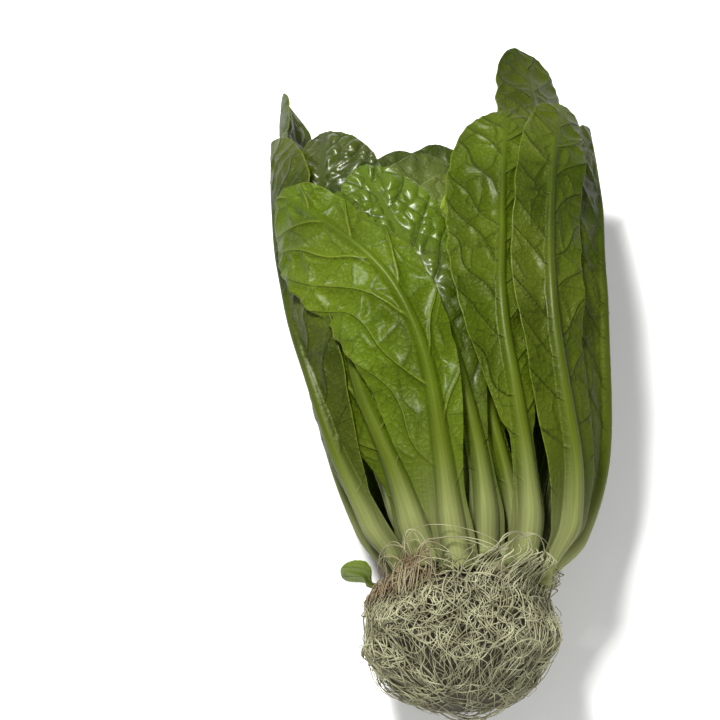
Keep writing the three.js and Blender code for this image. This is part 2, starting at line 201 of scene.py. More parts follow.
class Shader:
    """A material under construction."""

    MIX_FACTOR, MIX_LOW, MIX_HIGH = 0, 6, 7
    MIX_COLOUR = 2

    def __init__(self, name: str) -> None:
        """Starts an empty material.

        Args:
            name: the material's name.
        """
        self.material = bpy.data.materials.new(name)
        self.material.use_nodes = True
        self.tree = self.material.node_tree
        self.tree.nodes.clear()
        self.attributes: dict[str, Value] = {}

    def node(self, kind: str, settings: dict[str, Any], inputs: dict[Any, Any]) -> bpy.types.Node:
        """Adds a node.

        Args:
            kind: the node's type.
            settings: its properties, set first.
            inputs: numbers, colours or links, by socket name or index.

        Returns:
            The node.
        """
        made = self.tree.nodes.new(kind)
        for name, value in settings.items():
            setattr(made, name, value)
        for name, value in inputs.items():
            source = value.socket if isinstance(value, Value) else value
            if isinstance(source, bpy.types.NodeSocket):
                self.tree.links.new(source, made.inputs[name])
            else:
                made.inputs[name].default_value = source
        return made

    def math(self, operation: str, *values: Any) -> Value:
        """Returns the result of a Math node."""
        made = self.node("ShaderNodeMath", {"operation": operation}, dict(enumerate(values)))
        return Value(self, made.outputs[0])

    def attribute(self, name: str) -> Value:
        """Returns a number that the mesh carries at each point."""
        if name not in self.attributes:
            made = self.node("ShaderNodeAttribute", {"attribute_name": name}, {})
            self.attributes[name] = Value(self, made.outputs["Fac"])
        return self.attributes[name]

    def uv(self, name: str) -> bpy.types.NodeSocket:
        """Returns the place on one of the mesh's UV maps."""
        return self.node("ShaderNodeUVMap", {"uv_map": name}, {}).outputs["UV"]

    def place(self) -> bpy.types.NodeSocket:
        """Returns the place on the object, in metres."""
        return self.node("ShaderNodeTexCoord", {}, {}).outputs["Object"]

    def stretched(self, vector: Any, scale: Triple) -> bpy.types.NodeSocket:
        """Returns a vector multiplied by a scale along each axis."""
        return self.node("ShaderNodeVectorMath", {"operation": "MULTIPLY"}, {0: vector, 1: scale}).outputs[0]

    def first(self, vector: Any) -> Value:
        """Returns the first number of a vector."""
        return Value(self, self.node("ShaderNodeSeparateXYZ", {}, {0: vector}).outputs[0])

    def noise(self, vector: Any, scale: float, detail: float = 2.0) -> Value:
        """Returns a noise between 0 and 1, with scale features a unit of the vector."""
        made = self.node("ShaderNodeTexNoise", {}, {"Vector": vector, "Scale": scale, "Detail": detail})
        return Value(self, made.outputs["Fac"])

    def cells(self, vector: Any, scale: float) -> Value:
        """Returns the distance to the nearest wall of a net of cells, with scale cells a unit."""
        settings = {"voronoi_dimensions": "2D", "feature": "DISTANCE_TO_EDGE"}
        made = self.node("ShaderNodeTexVoronoi", settings, {"Vector": vector, "Scale": scale})
        return Value(self, made.outputs["Distance"])

    def mix(self, share: Any, low: Any, high: Any) -> bpy.types.NodeSocket:
        """Returns a colour a share of the way from low to high."""
        low, high = (c if isinstance(c, bpy.types.NodeSocket) else (*c, 1.0) for c in (low, high))
        inputs = {self.MIX_FACTOR: share, self.MIX_LOW: low, self.MIX_HIGH: high}
        return self.node("ShaderNodeMix", {"data_type": "RGBA"}, inputs).outputs[self.MIX_COLOUR]

    def shaded(self, colour: Any, share: Any) -> bpy.types.NodeSocket:
        """Returns a colour made lighter or darker, share 1 leaving it as it is."""
        made = self.node("ShaderNodeVectorMath", {"operation": "SCALE"}, {0: colour, "Scale": share})
        return made.outputs[0]

    def bent(self, vector: Any, scale: float, reach: float) -> bpy.types.NodeSocket:
        """Returns a flat vector pushed about by a noise, up to half of reach each way."""
        noise = self.node("ShaderNodeTexNoise", {}, {"Vector": vector, "Scale": scale}).outputs["Color"]
        push = self.stretched(noise, (reach, reach, 0))
        return self.node("ShaderNodeVectorMath", {"operation": "ADD"}, {0: vector, 1: push}).outputs[0]

    def bump(self, height: Value) -> bpy.types.NodeSocket:
        """Returns a normal bent by a height in millimetres."""
        return self.node("ShaderNodeBump", {}, {"Height": height, "Distance": MM}).outputs["Normal"]

    def principled(self, inputs: dict[str, Any]) -> bpy.types.NodeSocket:
        """Returns a surface with the given sockets of the Principled shader set."""
        return self.node("ShaderNodeBsdfPrincipled", {}, inputs).outputs[0]

    def finish(self, surface: bpy.types.NodeSocket) -> bpy.types.Material:
        """Links the surface and returns the material."""
        self.node("ShaderNodeOutputMaterial", {}, {"Surface": surface})
        return self.material


# ---- Finishes ------------------------------------------------------------------------------------------


@dataclass(frozen=True)
class Veins:
    """Where the veins of a blade are, each as a share from 0 to 1.

    side is on the side veins, and the vein shadow is a painted shadow line beside them, as if each raised
    vein cast it. net, mesh and fine are three sizes of smaller veins.
    puff and hollow are in the fields between the mesh and between the fine veins.
    """

    side: Value
    vein_shadow: Value
    net: Value
    mesh: Value
    fine: Value
    puff: Value
    hollow: Value


@dataclass(frozen=True)
class LeafFinish:
    """The skin of a leaf: a waxy blade with a net of veins, over a pale, ribbed stalk.

    The clouds, patches and grain are so many a metre, and the wander and the nets so many a millimetre of the
    blade. Shares are of full colour, and reliefs are millimetres.
    """

    name: str
    upper: Colour
    under: Colour
    vein: Colour
    stalk: Colour
    foot: Colour
    glow: Colour
    roughness: float = 0.4
    gloss: float = 0.17
    thinness: float = 0.28
    ior: float = 1.4
    sheen_tint: Colour = (0.95, 1.0, 0.45)
    under_coat: float = 0.14
    upper_coat: float = 0.68
    coat_roughness: float = 0.3
    clouds: float = 45
    patches: float = 18
    grain: float = 900
    wander: float = 0.22
    bend: float = 0.3
    bend_reach: float = 2.4
    mesh: float = 0.42
    fine: float = 1.1
    line_stretch: Triple = (1.5, 0.03, 1)
    side_share: float = 0.32
    vein_shadow_share: float = 0.45
    net_share: float = 0.28
    mesh_share: float = 0.22
    fine_share: float = 0.1
    rib_share: float = 0.12
    darkest_share: float = 0.6
    rim_share: float = 0.55
    patch_share: float = 0.4
    side_relief: float = 0.25
    net_relief: float = 0.14
    mesh_relief: float = 0.05
    fine_relief: float = 0.012
    puff_relief: float = 0.1
    hollow_relief: float = 0.02
    line_relief: float = 0.3
    grain_relief: float = 0.02

    def veins(self, s: Shader) -> Veins:
        """Finds the veins of the blade.

        Args:
            s: the material.

        Returns:
            The veins.
        """
        share, ridge_highlight, pitch = (s.attribute(name) for name in ("share", "ridge_highlight", "pitch"))
        blade = 1 - s.attribute("pale")
        veined = blade * (1 - s.attribute("rib"))
        wander = s.noise(s.uv("blade"), self.wander) - 0.5
        bent = s.bent(s.uv("blade"), self.bend, self.bend_reach)
        number = s.first(s.uv("veins")) + 0.05 * wander
        # Just off each side vein, where its painted shadow line goes.
        beside = number + (0.045 + 0.035 * ridge_highlight) * (1 - share)
        mesh_gap, fine_gap = s.cells(bent, self.mesh), s.cells(bent, self.fine)
        return Veins(
            side=(number.to_edge() * pitch).within(0.1, 0.5 + 0.3 * ridge_highlight - 0.3 * share) * veined,
            vein_shadow=(beside.to_edge() * pitch).within(0.05, 0.45 + 0.1 * ridge_highlight) * veined,
            net=(s.attribute("gap") + 0.5 * wander).within(0.05, 0.6) * veined,
            mesh=mesh_gap.within(0, 0.09) * veined,
            fine=fine_gap.within(0, 0.16) * blade,
            puff=mesh_gap.step(0, 0.45) * veined,
            hollow=fine_gap.step(0, 0.4) * blade,
        )

    def skin(self, s: Shader, veins: Veins, clouds: Value, grain: Value) -> bpy.types.NodeSocket:
        """Colours the blade: clouded green, yellower in patches, with pale veins and a painted shadow line
        beside each side vein.

        Args:
            s: the material.
            veins: the blade's veins.
            clouds: a coarse unevenness.
            grain: a fine one.

        Returns:
            The colour.
        """
        share, ridge_highlight = s.attribute("share"), s.attribute("ridge_highlight")
        blade = 1 - s.attribute("pale")
        colour = s.mix(s.attribute("upper"), self.under, self.upper)
        # Scaled by the leaf's tone: partly its own tone, partly painted light and shade, lighter on lit
        # leaves and darker on leaves in the shade of others.
        colour = s.shaded(colour, (0.23 + 1.3 * clouds + 0.18 * grain) * s.attribute("tone_and_lighting"))
        ripe = (s.noise(s.place(), self.patches) - 0.35).most(0) * blade
        colour = s.mix((0.9 * ripe).least(self.patch_share), colour, self.vein)
        # Side veins painted paler: partly their own paler colour, and on lit ridges a painted highlight.
        colour = s.mix(veins.side * (self.side_share + 0.4 * ridge_highlight - 0.3 * share), colour, self.vein)
        # Painted shadow: a dark line beside each side vein, as if the raised vein cast it; fainter on lit
        # ridges.
        vein_shadow_dark = (self.vein_shadow_share - 0.2 * ridge_highlight) * veins.vein_shadow
        small = self.net_share * veins.net + self.mesh_share * veins.mesh + self.fine_share * veins.fine
        small = small * (1 - 0.9 * ridge_highlight * veins.side)
        dark = vein_shadow_dark + small + self.rib_share * s.attribute("rib") * blade
        colour = s.shaded(colour, 1 - dark.least(self.darkest_share))
        rim = share.step(0.965, 0.995) * blade
        return s.mix(self.rim_share * rim, colour, self.vein)

    def relief(self, s: Shader, veins: Veins, lines: Value, grain: Value) -> Value:
        """Shapes the skin: the veins stand up underneath and lie sunk on top.

        Args:
            s: the material.
            veins: the blade's veins.
            lines: the ribs along the stalk.
            grain: a fine unevenness.

        Returns:
            The height in millimetres.
        """
        face = 1 - 2 * s.attribute("upper")
        raised = self.side_relief * veins.side + self.net_relief * veins.net
        raised = raised + self.mesh_relief * veins.mesh + self.fine_relief * veins.fine
        sunk = self.puff_relief * veins.puff + self.hollow_relief * veins.hollow
        stem = self.line_relief * lines * s.attribute("pale")
        return face * (raised - sunk) + stem + self.grain_relief * grain

    def material(self) -> bpy.types.Material:
        """Builds the material.

        Returns:
            The material.
        """
        s = Shader(self.name)
        upper, pale, rib, tone_and_lighting = (s.attribute(name) for name in ("upper", "pale", "rib", "tone_and_lighting"))
        clouds = s.noise(s.place(), self.clouds, 3)
        grain = s.noise(s.place(), self.grain)
        lines = s.noise(s.stretched(s.uv("blade"), self.line_stretch), 1, 3)
        veins = self.veins(s)
        stem = s.mix(s.attribute("foot"), self.stalk, self.foot)
        # Painted shade: the stalk is painted darker away from its midrib, on its rounded sides.
        stem = s.shaded(stem, (0.4 + 0.8 * lines + 0.2 * clouds) * (0.55 + 0.45 * rib))
        normal = s.bump(self.relief(s, veins, lines, grain))
        wax = s.principled({
            "Base Color": s.mix(pale, self.skin(s, veins, clouds, grain), stem),
            "Roughness": self.roughness + 0.2 * (clouds - 0.5) + 0.08 * pale + 0.06 * grain - 0.06 * upper,
            "Normal": normal,
            "IOR": self.ior,
            "Specular IOR Level": self.gloss,
            "Specular Tint": (*self.sheen_tint, 1.0),
            "Coat Weight": (1 - pale) * (self.under_coat + (self.upper_coat - self.under_coat) * upper),
            "Coat Roughness": self.coat_roughness,
            "Coat IOR": self.ior,
        })
        glow = s.node("ShaderNodeBsdfTranslucent", {}, {"Color": (*self.glow, 1.0), "Normal": normal})
        # The light through the blade is cut with the tone too: painted shade on the leaves that lie in shade.
        through_it = self.thinness * (1 - 0.85 * pale) * (0.3 + 0.7 * tone_and_lighting).least(1)
        both = s.node("ShaderNodeMixShader", {}, {0: through_it, 1: wax, 2: glow.outputs[0]})
        return s.finish(both.outputs[0])


@dataclass(frozen=True)
class RootFinish:
    """Thin dry roots, cream to tan, and stained near the stem."""

    name: str
    cream: Colour
    tan: Colour
    stain: Colour
    roughness: float = 0.62
    gloss: float = 0.3
    clouds: float = 60
    fibres: float = 220
    fibre_stretch: Triple = (3, 1, 3)
    fibre_relief: float = 0.5

    def material(self) -> bpy.types.Material:
        """Builds the material.

        Returns:
            The material.
        """
        s = Shader(self.name)
        clouds = s.noise(s.place(), self.clouds, 3)
        fibres = s.noise(s.stretched(s.place(), self.fibre_stretch), self.fibres, 4)
        colour = s.mix(s.attribute("tan"), self.cream, self.tan)
        colour = s.mix(s.attribute("stain"), colour, self.stain)
        return s.finish(s.principled({
            "Base Color": s.shaded(colour, 0.5 + 0.55 * clouds + 0.5 * fibres),
            "Roughness": self.roughness + 0.25 * fibres,
            "Normal": s.bump(self.fibre_relief * fibres),
            "Specular IOR Level": self.gloss,
        }))


@dataclass(frozen=True)
class StemFinish:
    """The moist, pale flesh of the shortened stem."""

    name: str
    flesh: Colour
    scar: Colour
    roughness: float = 0.42
    patches: float = 160
    rings: float = 120
    ring_stretch: Triple = (1, 5, 1)
    ring_relief: float = 0.4
    patch_relief: float = 0.3

    def material(self) -> bpy.types.Material:
        """Builds the material.

        Returns:
            The material.
        """
        s = Shader(self.name)
        patches = s.noise(s.place(), self.patches, 4)
        rings = s.noise(s.stretched(s.place(), self.ring_stretch), self.rings, 3)
        colour = s.mix(patches.step(0.45, 0.7), self.flesh, self.scar)
        return s.finish(s.principled({
            "Base Color": s.shaded(colour, 0.7 + 0.5 * rings),
            "Roughness": self.roughness + 0.2 * patches,
            "Normal": s.bump(self.ring_relief * rings + self.patch_relief * patches),
        }))


@dataclass(frozen=True)
class FloorFinish:
    """A plain pale table top."""

    name: str
    colour: Colour
    roughness: float = 0.6
    gloss: float = 0.25
    speckles: float = 30

    def material(self) -> bpy.types.Material:
        """Builds the material.

        Returns:
            The material.
        """
        s = Shader(self.name)
        speckle = s.noise(s.place(), self.speckles, 3)
        return s.finish(s.principled({
            "Base Color": s.shaded(self.colour, 0.97 + 0.06 * speckle),
            "Roughness": self.roughness + 0.1 * speckle,
            "Specular IOR Level": self.gloss,
        }))


# ---- The shells ----------------------------------------------------------------------------------------


@dataclass(frozen=True)
class Shells:
    """The nested shells that the leaves lie on."""

    axis_x: float = 2.8
    crown_y: float = -107.1
    base_half_width: float = 33.0
    fan_half_width: float = 76.0
    fan_spread: float = 100.0
    base_half_depth: float = 23.0
    body_half_depth: float = 35.0
    tip_half_depth: float = 25.0
    body_from: float = 110.0
    tips_from: float = 150.0
    leaf_reach: float = 250.0
    under_reach: float = 205.0
    crown_reach: float = 80.0
    inner_breadth: float = 0.62
    roundness: float = 2.1
    squareness: float = 0.45
    crown_level: float = 0.94
    body_level: float = 0.988
    sway: float = 3.0
    sway_along: float = 0.019
    sway_across: float = 0.03
    slump: float = 0.04
    slump_along: float = 0.03
    slump_across: float = 0.05
    crown_growth: float = 13.0
    blade: float = 0.9
    rib_height: float = 3.4
    rib_ease: float = 0.8
    floor_cut: float = 0.45
    under_clear: float = 0.7
    stems: tuple[float, float] = (-21.0, 20.0)
    stem_pull: float = 0.5
    stem_reach: float = 75.0
    angle_step: float = 0.01
    along_step: float = 0.5

    def half_width(self, s: Array) -> Array:
        """Returns the outermost shell's half width."""
        return lerp(self.fan_half_width, self.base_half_width, np.exp(-s / self.fan_spread))

    def half_depth(self, s: Array) -> Array:
        """Returns the outermost shell's half depth."""
        body = lerp(self.base_half_depth, self.body_half_depth, smoothstep(s, 0, self.body_from))
        return lerp(body, self.tip_half_depth, smoothstep(s, self.tips_from, self.leaf_reach))

    def rib(self, t: Array) -> Array:
        """Returns a midrib's height over the back of its blade, t of the way up the leaf."""
        return self.rib_height * np.clip(1 - t, 0, 1) ** self.rib_ease

    def axis_height(self, s: Array) -> Array:
        """Finds the axis' height over the floor: the undermost midrib lies on the floor, pressed flat.

        Args:
            s: distances from the crown.

        Returns:
            The heights.
        """
        level = lerp(self.crown_level, self.body_level, smoothstep(s, 0, self.crown_reach))
        rib = self.rib(np.clip(s / self.under_reach, 0, 1))
        clear = np.maximum(rib - self.floor_cut, self.under_clear)
        return level * self.half_depth(s) + self.blade / 2 + clear

    def gathered(self, x: Array, s: Array) -> Array:
        """Returns x drawn towards the nearer of the two stems, most of all at the crown."""
        spacing = self.stems[1] - self.stems[0]
        pull = self.stem_pull * (1 - smoothstep(s, 0, self.stem_reach))
        return x - pull * spacing * np.sin(TURN * (x - self.stems[0]) / spacing) / TURN

    def place(self, s: Array, ring: Any, angle: Array) -> Array:
        """Finds points on a shell.

        Args:
            s: distances from the crown.
            ring: the shell's size as a share of the outermost one.
            angle: angles round the axis from straight up.

        Returns:
            The points, along a new last axis.
        """
        s, angle = np.broadcast_arrays(np.asarray(s, float), np.asarray(angle, float))
        power = self.roundness + self.squareness * (1 - np.cos(angle))
        total = np.abs(np.sin(angle)) ** power + np.abs(np.cos(angle)) ** power
        unit = total ** (-1 / power)
        breadth = ring ** lerp(1, self.inner_breadth, smoothstep(s, 0, self.crown_reach))
        x = self.gathered(self.half_width(s) * breadth * unit * np.sin(angle), s)
        z = self.axis_height(s) + self.half_depth(s) * ring * unit * np.cos(angle)
        along = s + self.crown_growth
        sway = self.sway * np.sin(self.sway_along * along + self.sway_across * z)
        slump = 1 + self.slump * np.sin(self.slump_across * x + self.slump_along * along)
        return np.stack([self.axis_x + x + sway, self.crown_y + s, z * slump], -1)

    def around(self, s: Array, ring: float, angle: Array) -> Array:
        """Returns the steps along a shell from a little before each angle to a little after it."""
        return self.place(s, ring, angle + self.angle_step) - self.place(s, ring, angle - self.angle_step)

    def metric(self, s: Array, ring: float, angle: Array) -> Array:
        """Returns the millimetres along a shell for each radian of angle."""
        return np.linalg.norm(self.around(s, ring, angle), axis=-1) / (2 * self.angle_step)

    def outward(self, s: Array, ring: float, angle: Array) -> Array:
        """Returns the directions straight out of a shell."""
        along = self.place(s + self.along_step, ring, angle) - self.place(s - self.along_step, ring, angle)
        out = np.cross(self.around(s, ring, angle), along)
        return out / np.linalg.norm(out, axis=-1, keepdims=True)


SHELLS = Shells()


# ---- Meshes --------------------------------------------------------------------------------------------


def slab(rows: int, columns: int, closed: bool) -> bmesh.types.BMesh:
    """Makes a flat grid, or a flat slab with a rim whose top lies at z 1.

    Args:
        rows: points along y, from -1 to 1.
        columns: points along x, from -1 to 1.
        closed: whether to make the slab.

    Returns:
        The bmesh.
    """
    bm = bmesh.new()
    bmesh.ops.create_grid(bm, x_segments=columns - 1, y_segments=rows - 1, size=1)
    if closed:
        made = bmesh.ops.extrude_face_region(bm, geom=bm.faces[:])
        top = [g for g in made["geom"] if isinstance(g, bmesh.types.BMVert)]
        bmesh.ops.translate(bm, vec=(0, 0, 1), verts=top)
        bmesh.ops.recalc_face_normals(bm, faces=bm.faces[:])
    return bm


def grid_index(place: Any, count: int) -> Any:
    """Returns which of count even places from -1 to 1 a place is."""
    return np.rint((np.asarray(place) + 1) / 2 * (count - 1)).astype(int)


def linked(name: str, data: bpy.types.ID) -> bpy.types.Object:
    """Puts a new object into the scene."""
    made = bpy.data.objects.new(name, data)
    bpy.context.scene.collection.objects.link(made)
    return made


def smooth_object(name: str, mesh: bpy.types.Mesh) -> bpy.types.Object:
    """Puts a mesh into the scene as a smooth object."""
    mesh.polygons.foreach_set("use_smooth", [True] * len(mesh.polygons))
    return linked(name, mesh)


def mesh_object(name: str, bm: bmesh.types.BMesh) -> bpy.types.Object:
    """Turns a bmesh into a smooth object in the scene, and frees it."""
    mesh = bpy.data.meshes.new(name)
    bm.to_mesh(mesh)
    bm.free()
    return smooth_object(name, mesh)


def wrapped(name: str, points: Array) -> bpy.types.Object:
    """Wraps a grid of points into a closed body, its first and last columns meeting.

    Args:
        name: the object's name.
        points: rows by columns by three, in millimetres.

    Returns:
        The object.
    """
    rows, columns, _ = points.shape
    bm = slab(rows, columns, False)
    for vert in bm.verts:
        vert.co = Vector(points[grid_index(vert.co.y, rows), grid_index(vert.co.x, columns)] * MM)
    bmesh.ops.remove_doubles(bm, verts=bm.verts[:], dist=0.02 * MM)
    bmesh.ops.recalc_face_normals(bm, faces=bm.faces[:])
    return mesh_object(name, bm)


def points_of(mesh: bpy.types.Mesh) -> Array:
    """Returns the places of a mesh's points, one a row."""
    flat = np.zeros(len(mesh.vertices) * 3)
    mesh.vertices.foreach_get("co", flat)
    return flat.reshape(-1, 3)


def carry(mesh: bpy.types.Mesh, name: str, values: Array) -> None:
    """Stores a number at each point of a mesh."""
    mesh.attributes.new(name, "FLOAT", "POINT").data.foreach_set("value", values.astype(np.float32))


def unwrap(mesh: bpy.types.Mesh, name: str, values: Array) -> None:
    """Stores a UV map from two numbers at each point of a mesh."""
    corners = np.zeros(len(mesh.loops), int)
    mesh.loops.foreach_get("vertex_index", corners)
    mesh.uv_layers.new(name=name).data.foreach_set("uv", values[corners].astype(np.float32).ravel())


def fit(piece: bpy.types.Object, nodes: Sequence[str], material: bpy.types.Material) -> None:
    """Dresses a piece and ties it to what it stands for.

    Args:
        piece: the object.
        nodes: the solids that it replaces.
        material: its finish.
    """
    piece.data.materials.clear()
    piece.data.materials.append(material)
    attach(piece, BODY)
    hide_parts(*nodes)
    log.info("%s: %d faces", piece.name, len(piece.data.polygons))


# ---- One leaf ------------------------------------------------------------------------------------------

OUTLINE = [
    (0, 0.16), (0.12, 0.34), (0.28, 0.62), (0.45, 0.86), (0.6, 0.98),
    (0.72, 1), (0.84, 0.87), (0.93, 0.6), (1, 0.26),
]
OUTLINE_SAMPLES = 201
OUTLINE_BLUR = 8
COURSE_SAMPLES = 400
# Turns a field's row and place along it into two chances.
HASH = (127.1, 311.7, 43758.55, 1.7)


class Face(Enum):
    """The face of a blade that looks out of the bunch, and which way its puffed fields stand."""

    UNDER = -1
    UPPER = 1


class Detail(Enum):
    """How fine a leaf's mesh is: rows and columns of points."""

    OPEN = (190, 71)
    SIDE = (130, 53)
    HIDDEN = (80, 33)


class Seed(IntEnum):
    """The first seed of each unevenness of the leaves, to which a leaf adds its number."""

    VEINS = 10
    PUFFS = 20
    HEAVES = 30
    CROSS_VEINS = 40
    EDGES = 70


def blade_outline(up: Array) -> Array:
    """Finds a blade's width as a share of its widest.

    Args:
        up: shares of the way from the foot of the blade to its tip.

    Returns:
        The shares, from the outline with its corners smoothed away.
    """
    fine = np.linspace(0, 1, OUTLINE_SAMPLES)
    rough = np.interp(fine, *zip(*OUTLINE))
    padded = np.pad(rough, OUTLINE_BLUR, mode="reflect", reflect_type="odd")
    window = 2 * OUTLINE_BLUR + 1
    smooth = np.convolve(padded, np.ones(window) / window, mode="valid")
    return np.clip(np.interp(up, fine, smooth), 0, 1)


@dataclass(frozen=True)
class Sheet:
    """The grid of points that a leaf is made on: its rows run up the leaf and its columns across.

    s and angle are the place on the shell, and x, y and t the place on the leaf. share is the share of the
    way from the midrib to the edge. u and w number the side veins and the cross veins, and gap is the
    millimetres to the nearest vein. rib_width is the midrib's half width. opened is 1 where the blade has
    opened out of the stalk, and off_rib is 1 beside the midrib.
    """

    s: Array
    angle: Array
    x: Array
    y: Array
    t: Array
    share: Array
    u: Array
    w: Array
    gap: Array
    rib_width: Array
    opened: Array
    off_rib: Array


@dataclass
class Leaf:
    """One leaf on its shell.

    course is its midrib: distances from the crown and angles in degrees. widths are its widest half widths,
    left and right. Its stalk is bare up to the share bare. Its tone scales its blade's colour: partly the
    leaf's own tone and partly painted light and shade. Its lower shade paints the lower blade darker as
    painted shade and flattens the puffs there.
    """

    name: str
    ring: float
    course: list[tuple[float, float]]
    widths: tuple[float, float]
    bare: float
    number: int = 0
    breadth: float = 1.0
    taper: float = 1.0
    face: Face = Face.UNDER
    detail: Detail = Detail.OPEN
    tone_and_lighting: float = 1.0
    puff: float = 0.95
    heave: float = 0.6
    stalk: float = 1.0
    flare: float = 0.0
    cord: float = 0.6
    # Painted highlight: how strongly the side veins are painted as lit ridges, paler and broader, with a
    # fainter shadow line beside them.
    ridge_highlight: float = 0.0
    # Painted shade: how much darker the lower part of the blade is painted, where it lies under other leaves;
    # its puffs are flattened there too.
    lower_shade: float = 0.0
    wave: float = 0.4
    vein_spacing: float = 17.0
    vein_slant: float = 1.2
    vein_curl: float = 0.012
    vein_half_width: float = 1.1
    field_rows: int = 1
    field_length: float = 9.0
    field_jitter: float = 0.36
    puff_from: float = -0.8
    puff_to: float = 3.4
    blade: float = 0.55
    foot_blade: float = 0.8
    edge: float = 0.3
    crown_gap: float = 0.6
    crown_height: float = 30.0
    foot_half_width: float = 7.4
    foot_reach: float = 0.16
    stalk_half_width: float = 5.4
    rib_half_width: float = 6.6
    rib_tip_half_width: float = 0.9
    least_half_width: float = 0.05
    blade_blend: float = 0.04
    stalk_blend: float = 6.0
    tip_from: float = 0.94
    unevenness: float = 0.03
    tuck: float = 0.1
    tuck_aside: float = 0.2
    tuck_reach: float = 0.09
    sink: float = 4.0
    inner_floor: float = 0.35

    def uneven(self, seed: Seed, wavelength: float, x: Array, y: Array) -> Array:
        """Returns one of the leaf's own unevennesses at x and y."""
        return Unevenness(seed + self.number, wavelength)(x, y)

    def midrib(self, t: Array) -> tuple[Array, Array, Array, float]:
        """Follows the midrib.

        Args:
            t: shares of its length.

        Returns:
            The distances from the crown, the angles round the axis, the headings and the whole length.
        """
        course = through([(s, math.radians(a)) for s, a in self.course], COURSE_SAMPLES)
        points = SHELLS.place(course[:, 0], self.ring, course[:, 1])
        steps = np.linalg.norm(np.diff(points, axis=0), axis=1)
        lengths = np.concatenate([[0], np.cumsum(steps)])
        at = t * lengths[-1]
        s, angle = (np.interp(at, lengths, course[:, i]) for i in (0, 1))
        rise, turn = (np.interp(at, lengths, np.gradient(course[:, i], lengths)) for i in (0, 1))
        return s, angle, np.arctan2(turn * SHELLS.metric(s, self.ring, angle), rise), float(lengths[-1])

    def half_width(self, t: Array, side: int) -> Array:
        """Finds the width of one side of the leaf, stalk and blade blended.

        Args:
            t: shares of the leaf's length.
            side: -1 for the left side, 1 for the right.

        Returns:
            The widths from the midrib to the edge.
        """
        foot = lerp(self.foot_half_width, self.stalk_half_width, smoothstep(t, 0, self.foot_reach))
        stalk = foot * self.stalk * self.breadth * (1 - t)
        up = np.clip((t - self.bare) / (1 - self.bare), 0, 1)
        blade = self.widths[0 if side < 0 else 1] * blade_outline(up) ** self.taper
        blade = blade * smoothstep(t, self.bare - self.blade_blend, self.bare + self.blade_blend)
        uneven = self.uneven(Seed.EDGES, 16, t * 200, np.full_like(t, 50.0 * side))
        blade = blade * (1 + self.unevenness * uneven * smoothstep(up, 0, 0.3))
        tip = np.sqrt(1 - np.clip((t - self.tip_from) / (1 - self.tip_from), 0, 1) ** 2)
        widest = (blade**self.stalk_blend + stalk**self.stalk_blend) ** (1 / self.stalk_blend)
        return np.maximum(widest * tip, self.least_half_width)

    def spread(self, t: Array, across: Array) -> tuple[Array, Array, Array]:
        """Lays the blade out on its shell, stepping sideways from the midrib.

        Args:
            t: shares of the leaf's length, one a row.
            across: shares of the half width from -1 to 1, one a column, with 0 in the middle.

        Returns:
            The distances from the crown, the angles and the millimetres from the midrib, as grids.
        """
        middle = len(across) // 2
        s, angle, heading, _ = self.midrib(t)
        grid_s, grid_a, grid_x = (np.zeros((len(t), len(across))) for _ in range(3))
        grid_s[:, middle], grid_a[:, middle] = s, angle
        for side in (-1, 1):
            width = self.half_width(t, side)
            at_s, at_a = s.copy(), angle.copy()
            for i in range(1, middle + 1):
                column = middle + side * i
                step = (across[column] - across[column - side]) * width
                at_a = at_a + step * np.cos(heading) / SHELLS.metric(at_s, self.ring, at_a)
                at_s = at_s - step * np.sin(heading)
                grid_s[:, column], grid_a[:, column] = at_s, at_a
                grid_x[:, column] = across[column] * width
        return grid_s, grid_a, grid_x

    def veins(self, x: Array, y: Array) -> tuple[Array, Array]:
        """Numbers the side veins and the cross veins between them.

        Args:
            x: millimetres across from the midrib, signed.
            y: millimetres along it.

        Returns:
            Two grids that are whole numbers on the side veins and on the cross veins.
        """
        far = np.abs(x)
        climb = self.vein_slant * far + self.vein_curl * far**2
        u = (y - climb) / self.vein_spacing + 0.5 * (x > 0) + 0.2 * self.uneven(Seed.VEINS, 26, x, y)
        w = (far + self.vein_slant * y) / (math.hypot(1, self.vein_slant) * self.field_length)
        return u, w + 0.3 * self.uneven(Seed.CROSS_VEINS, 18, x, y)

    def pitch(self) -> float:
        """Returns the millimetres straight across from one side vein to the next."""
        return self.vein_spacing / math.hypot(1, self.vein_slant)

    def side_gap(self, u: Array) -> Array:
        """Returns the millimetres to the nearest side vein."""
        return np.minimum(u % 1, 1 - u % 1) * self.pitch()

    def fields(self, u: Array, w: Array) -> Array:
        """Finds how far each point is from the veins round its puffed field.

        Args:
            u: numbers of the side veins.
            w: numbers of the fields along them.

        Returns:
            The millimetres to the nearest side vein or smaller vein.
        """
        p, r = u * self.field_rows, w
        near = np.full(p.shape, 99.0)
        second = near.copy()
        for i in (-1, 0, 1):
            for j in (-1, 0, 1):
                a, b = np.floor(p) + i, np.floor(r) + j
                chance = np.sin(HASH[0] * a + HASH[1] * b + self.number) * HASH[2]
                turns = TURN * (chance % 1), TURN * (chance * HASH[3] % 1)
                jitter = self.field_jitter * np.sin(turns[0]), self.field_jitter * np.cos(turns[1])
                high = (a + 0.5 + jitter[0] - p) * self.pitch() / self.field_rows
                long = (b + 0.5 + jitter[1] - r) * self.field_length
                far = np.hypot(high, long)
                second = np.minimum(second, np.maximum(near, far))
                near = np.minimum(near, far)
        return np.minimum((second - near) / 2, self.side_gap(u))

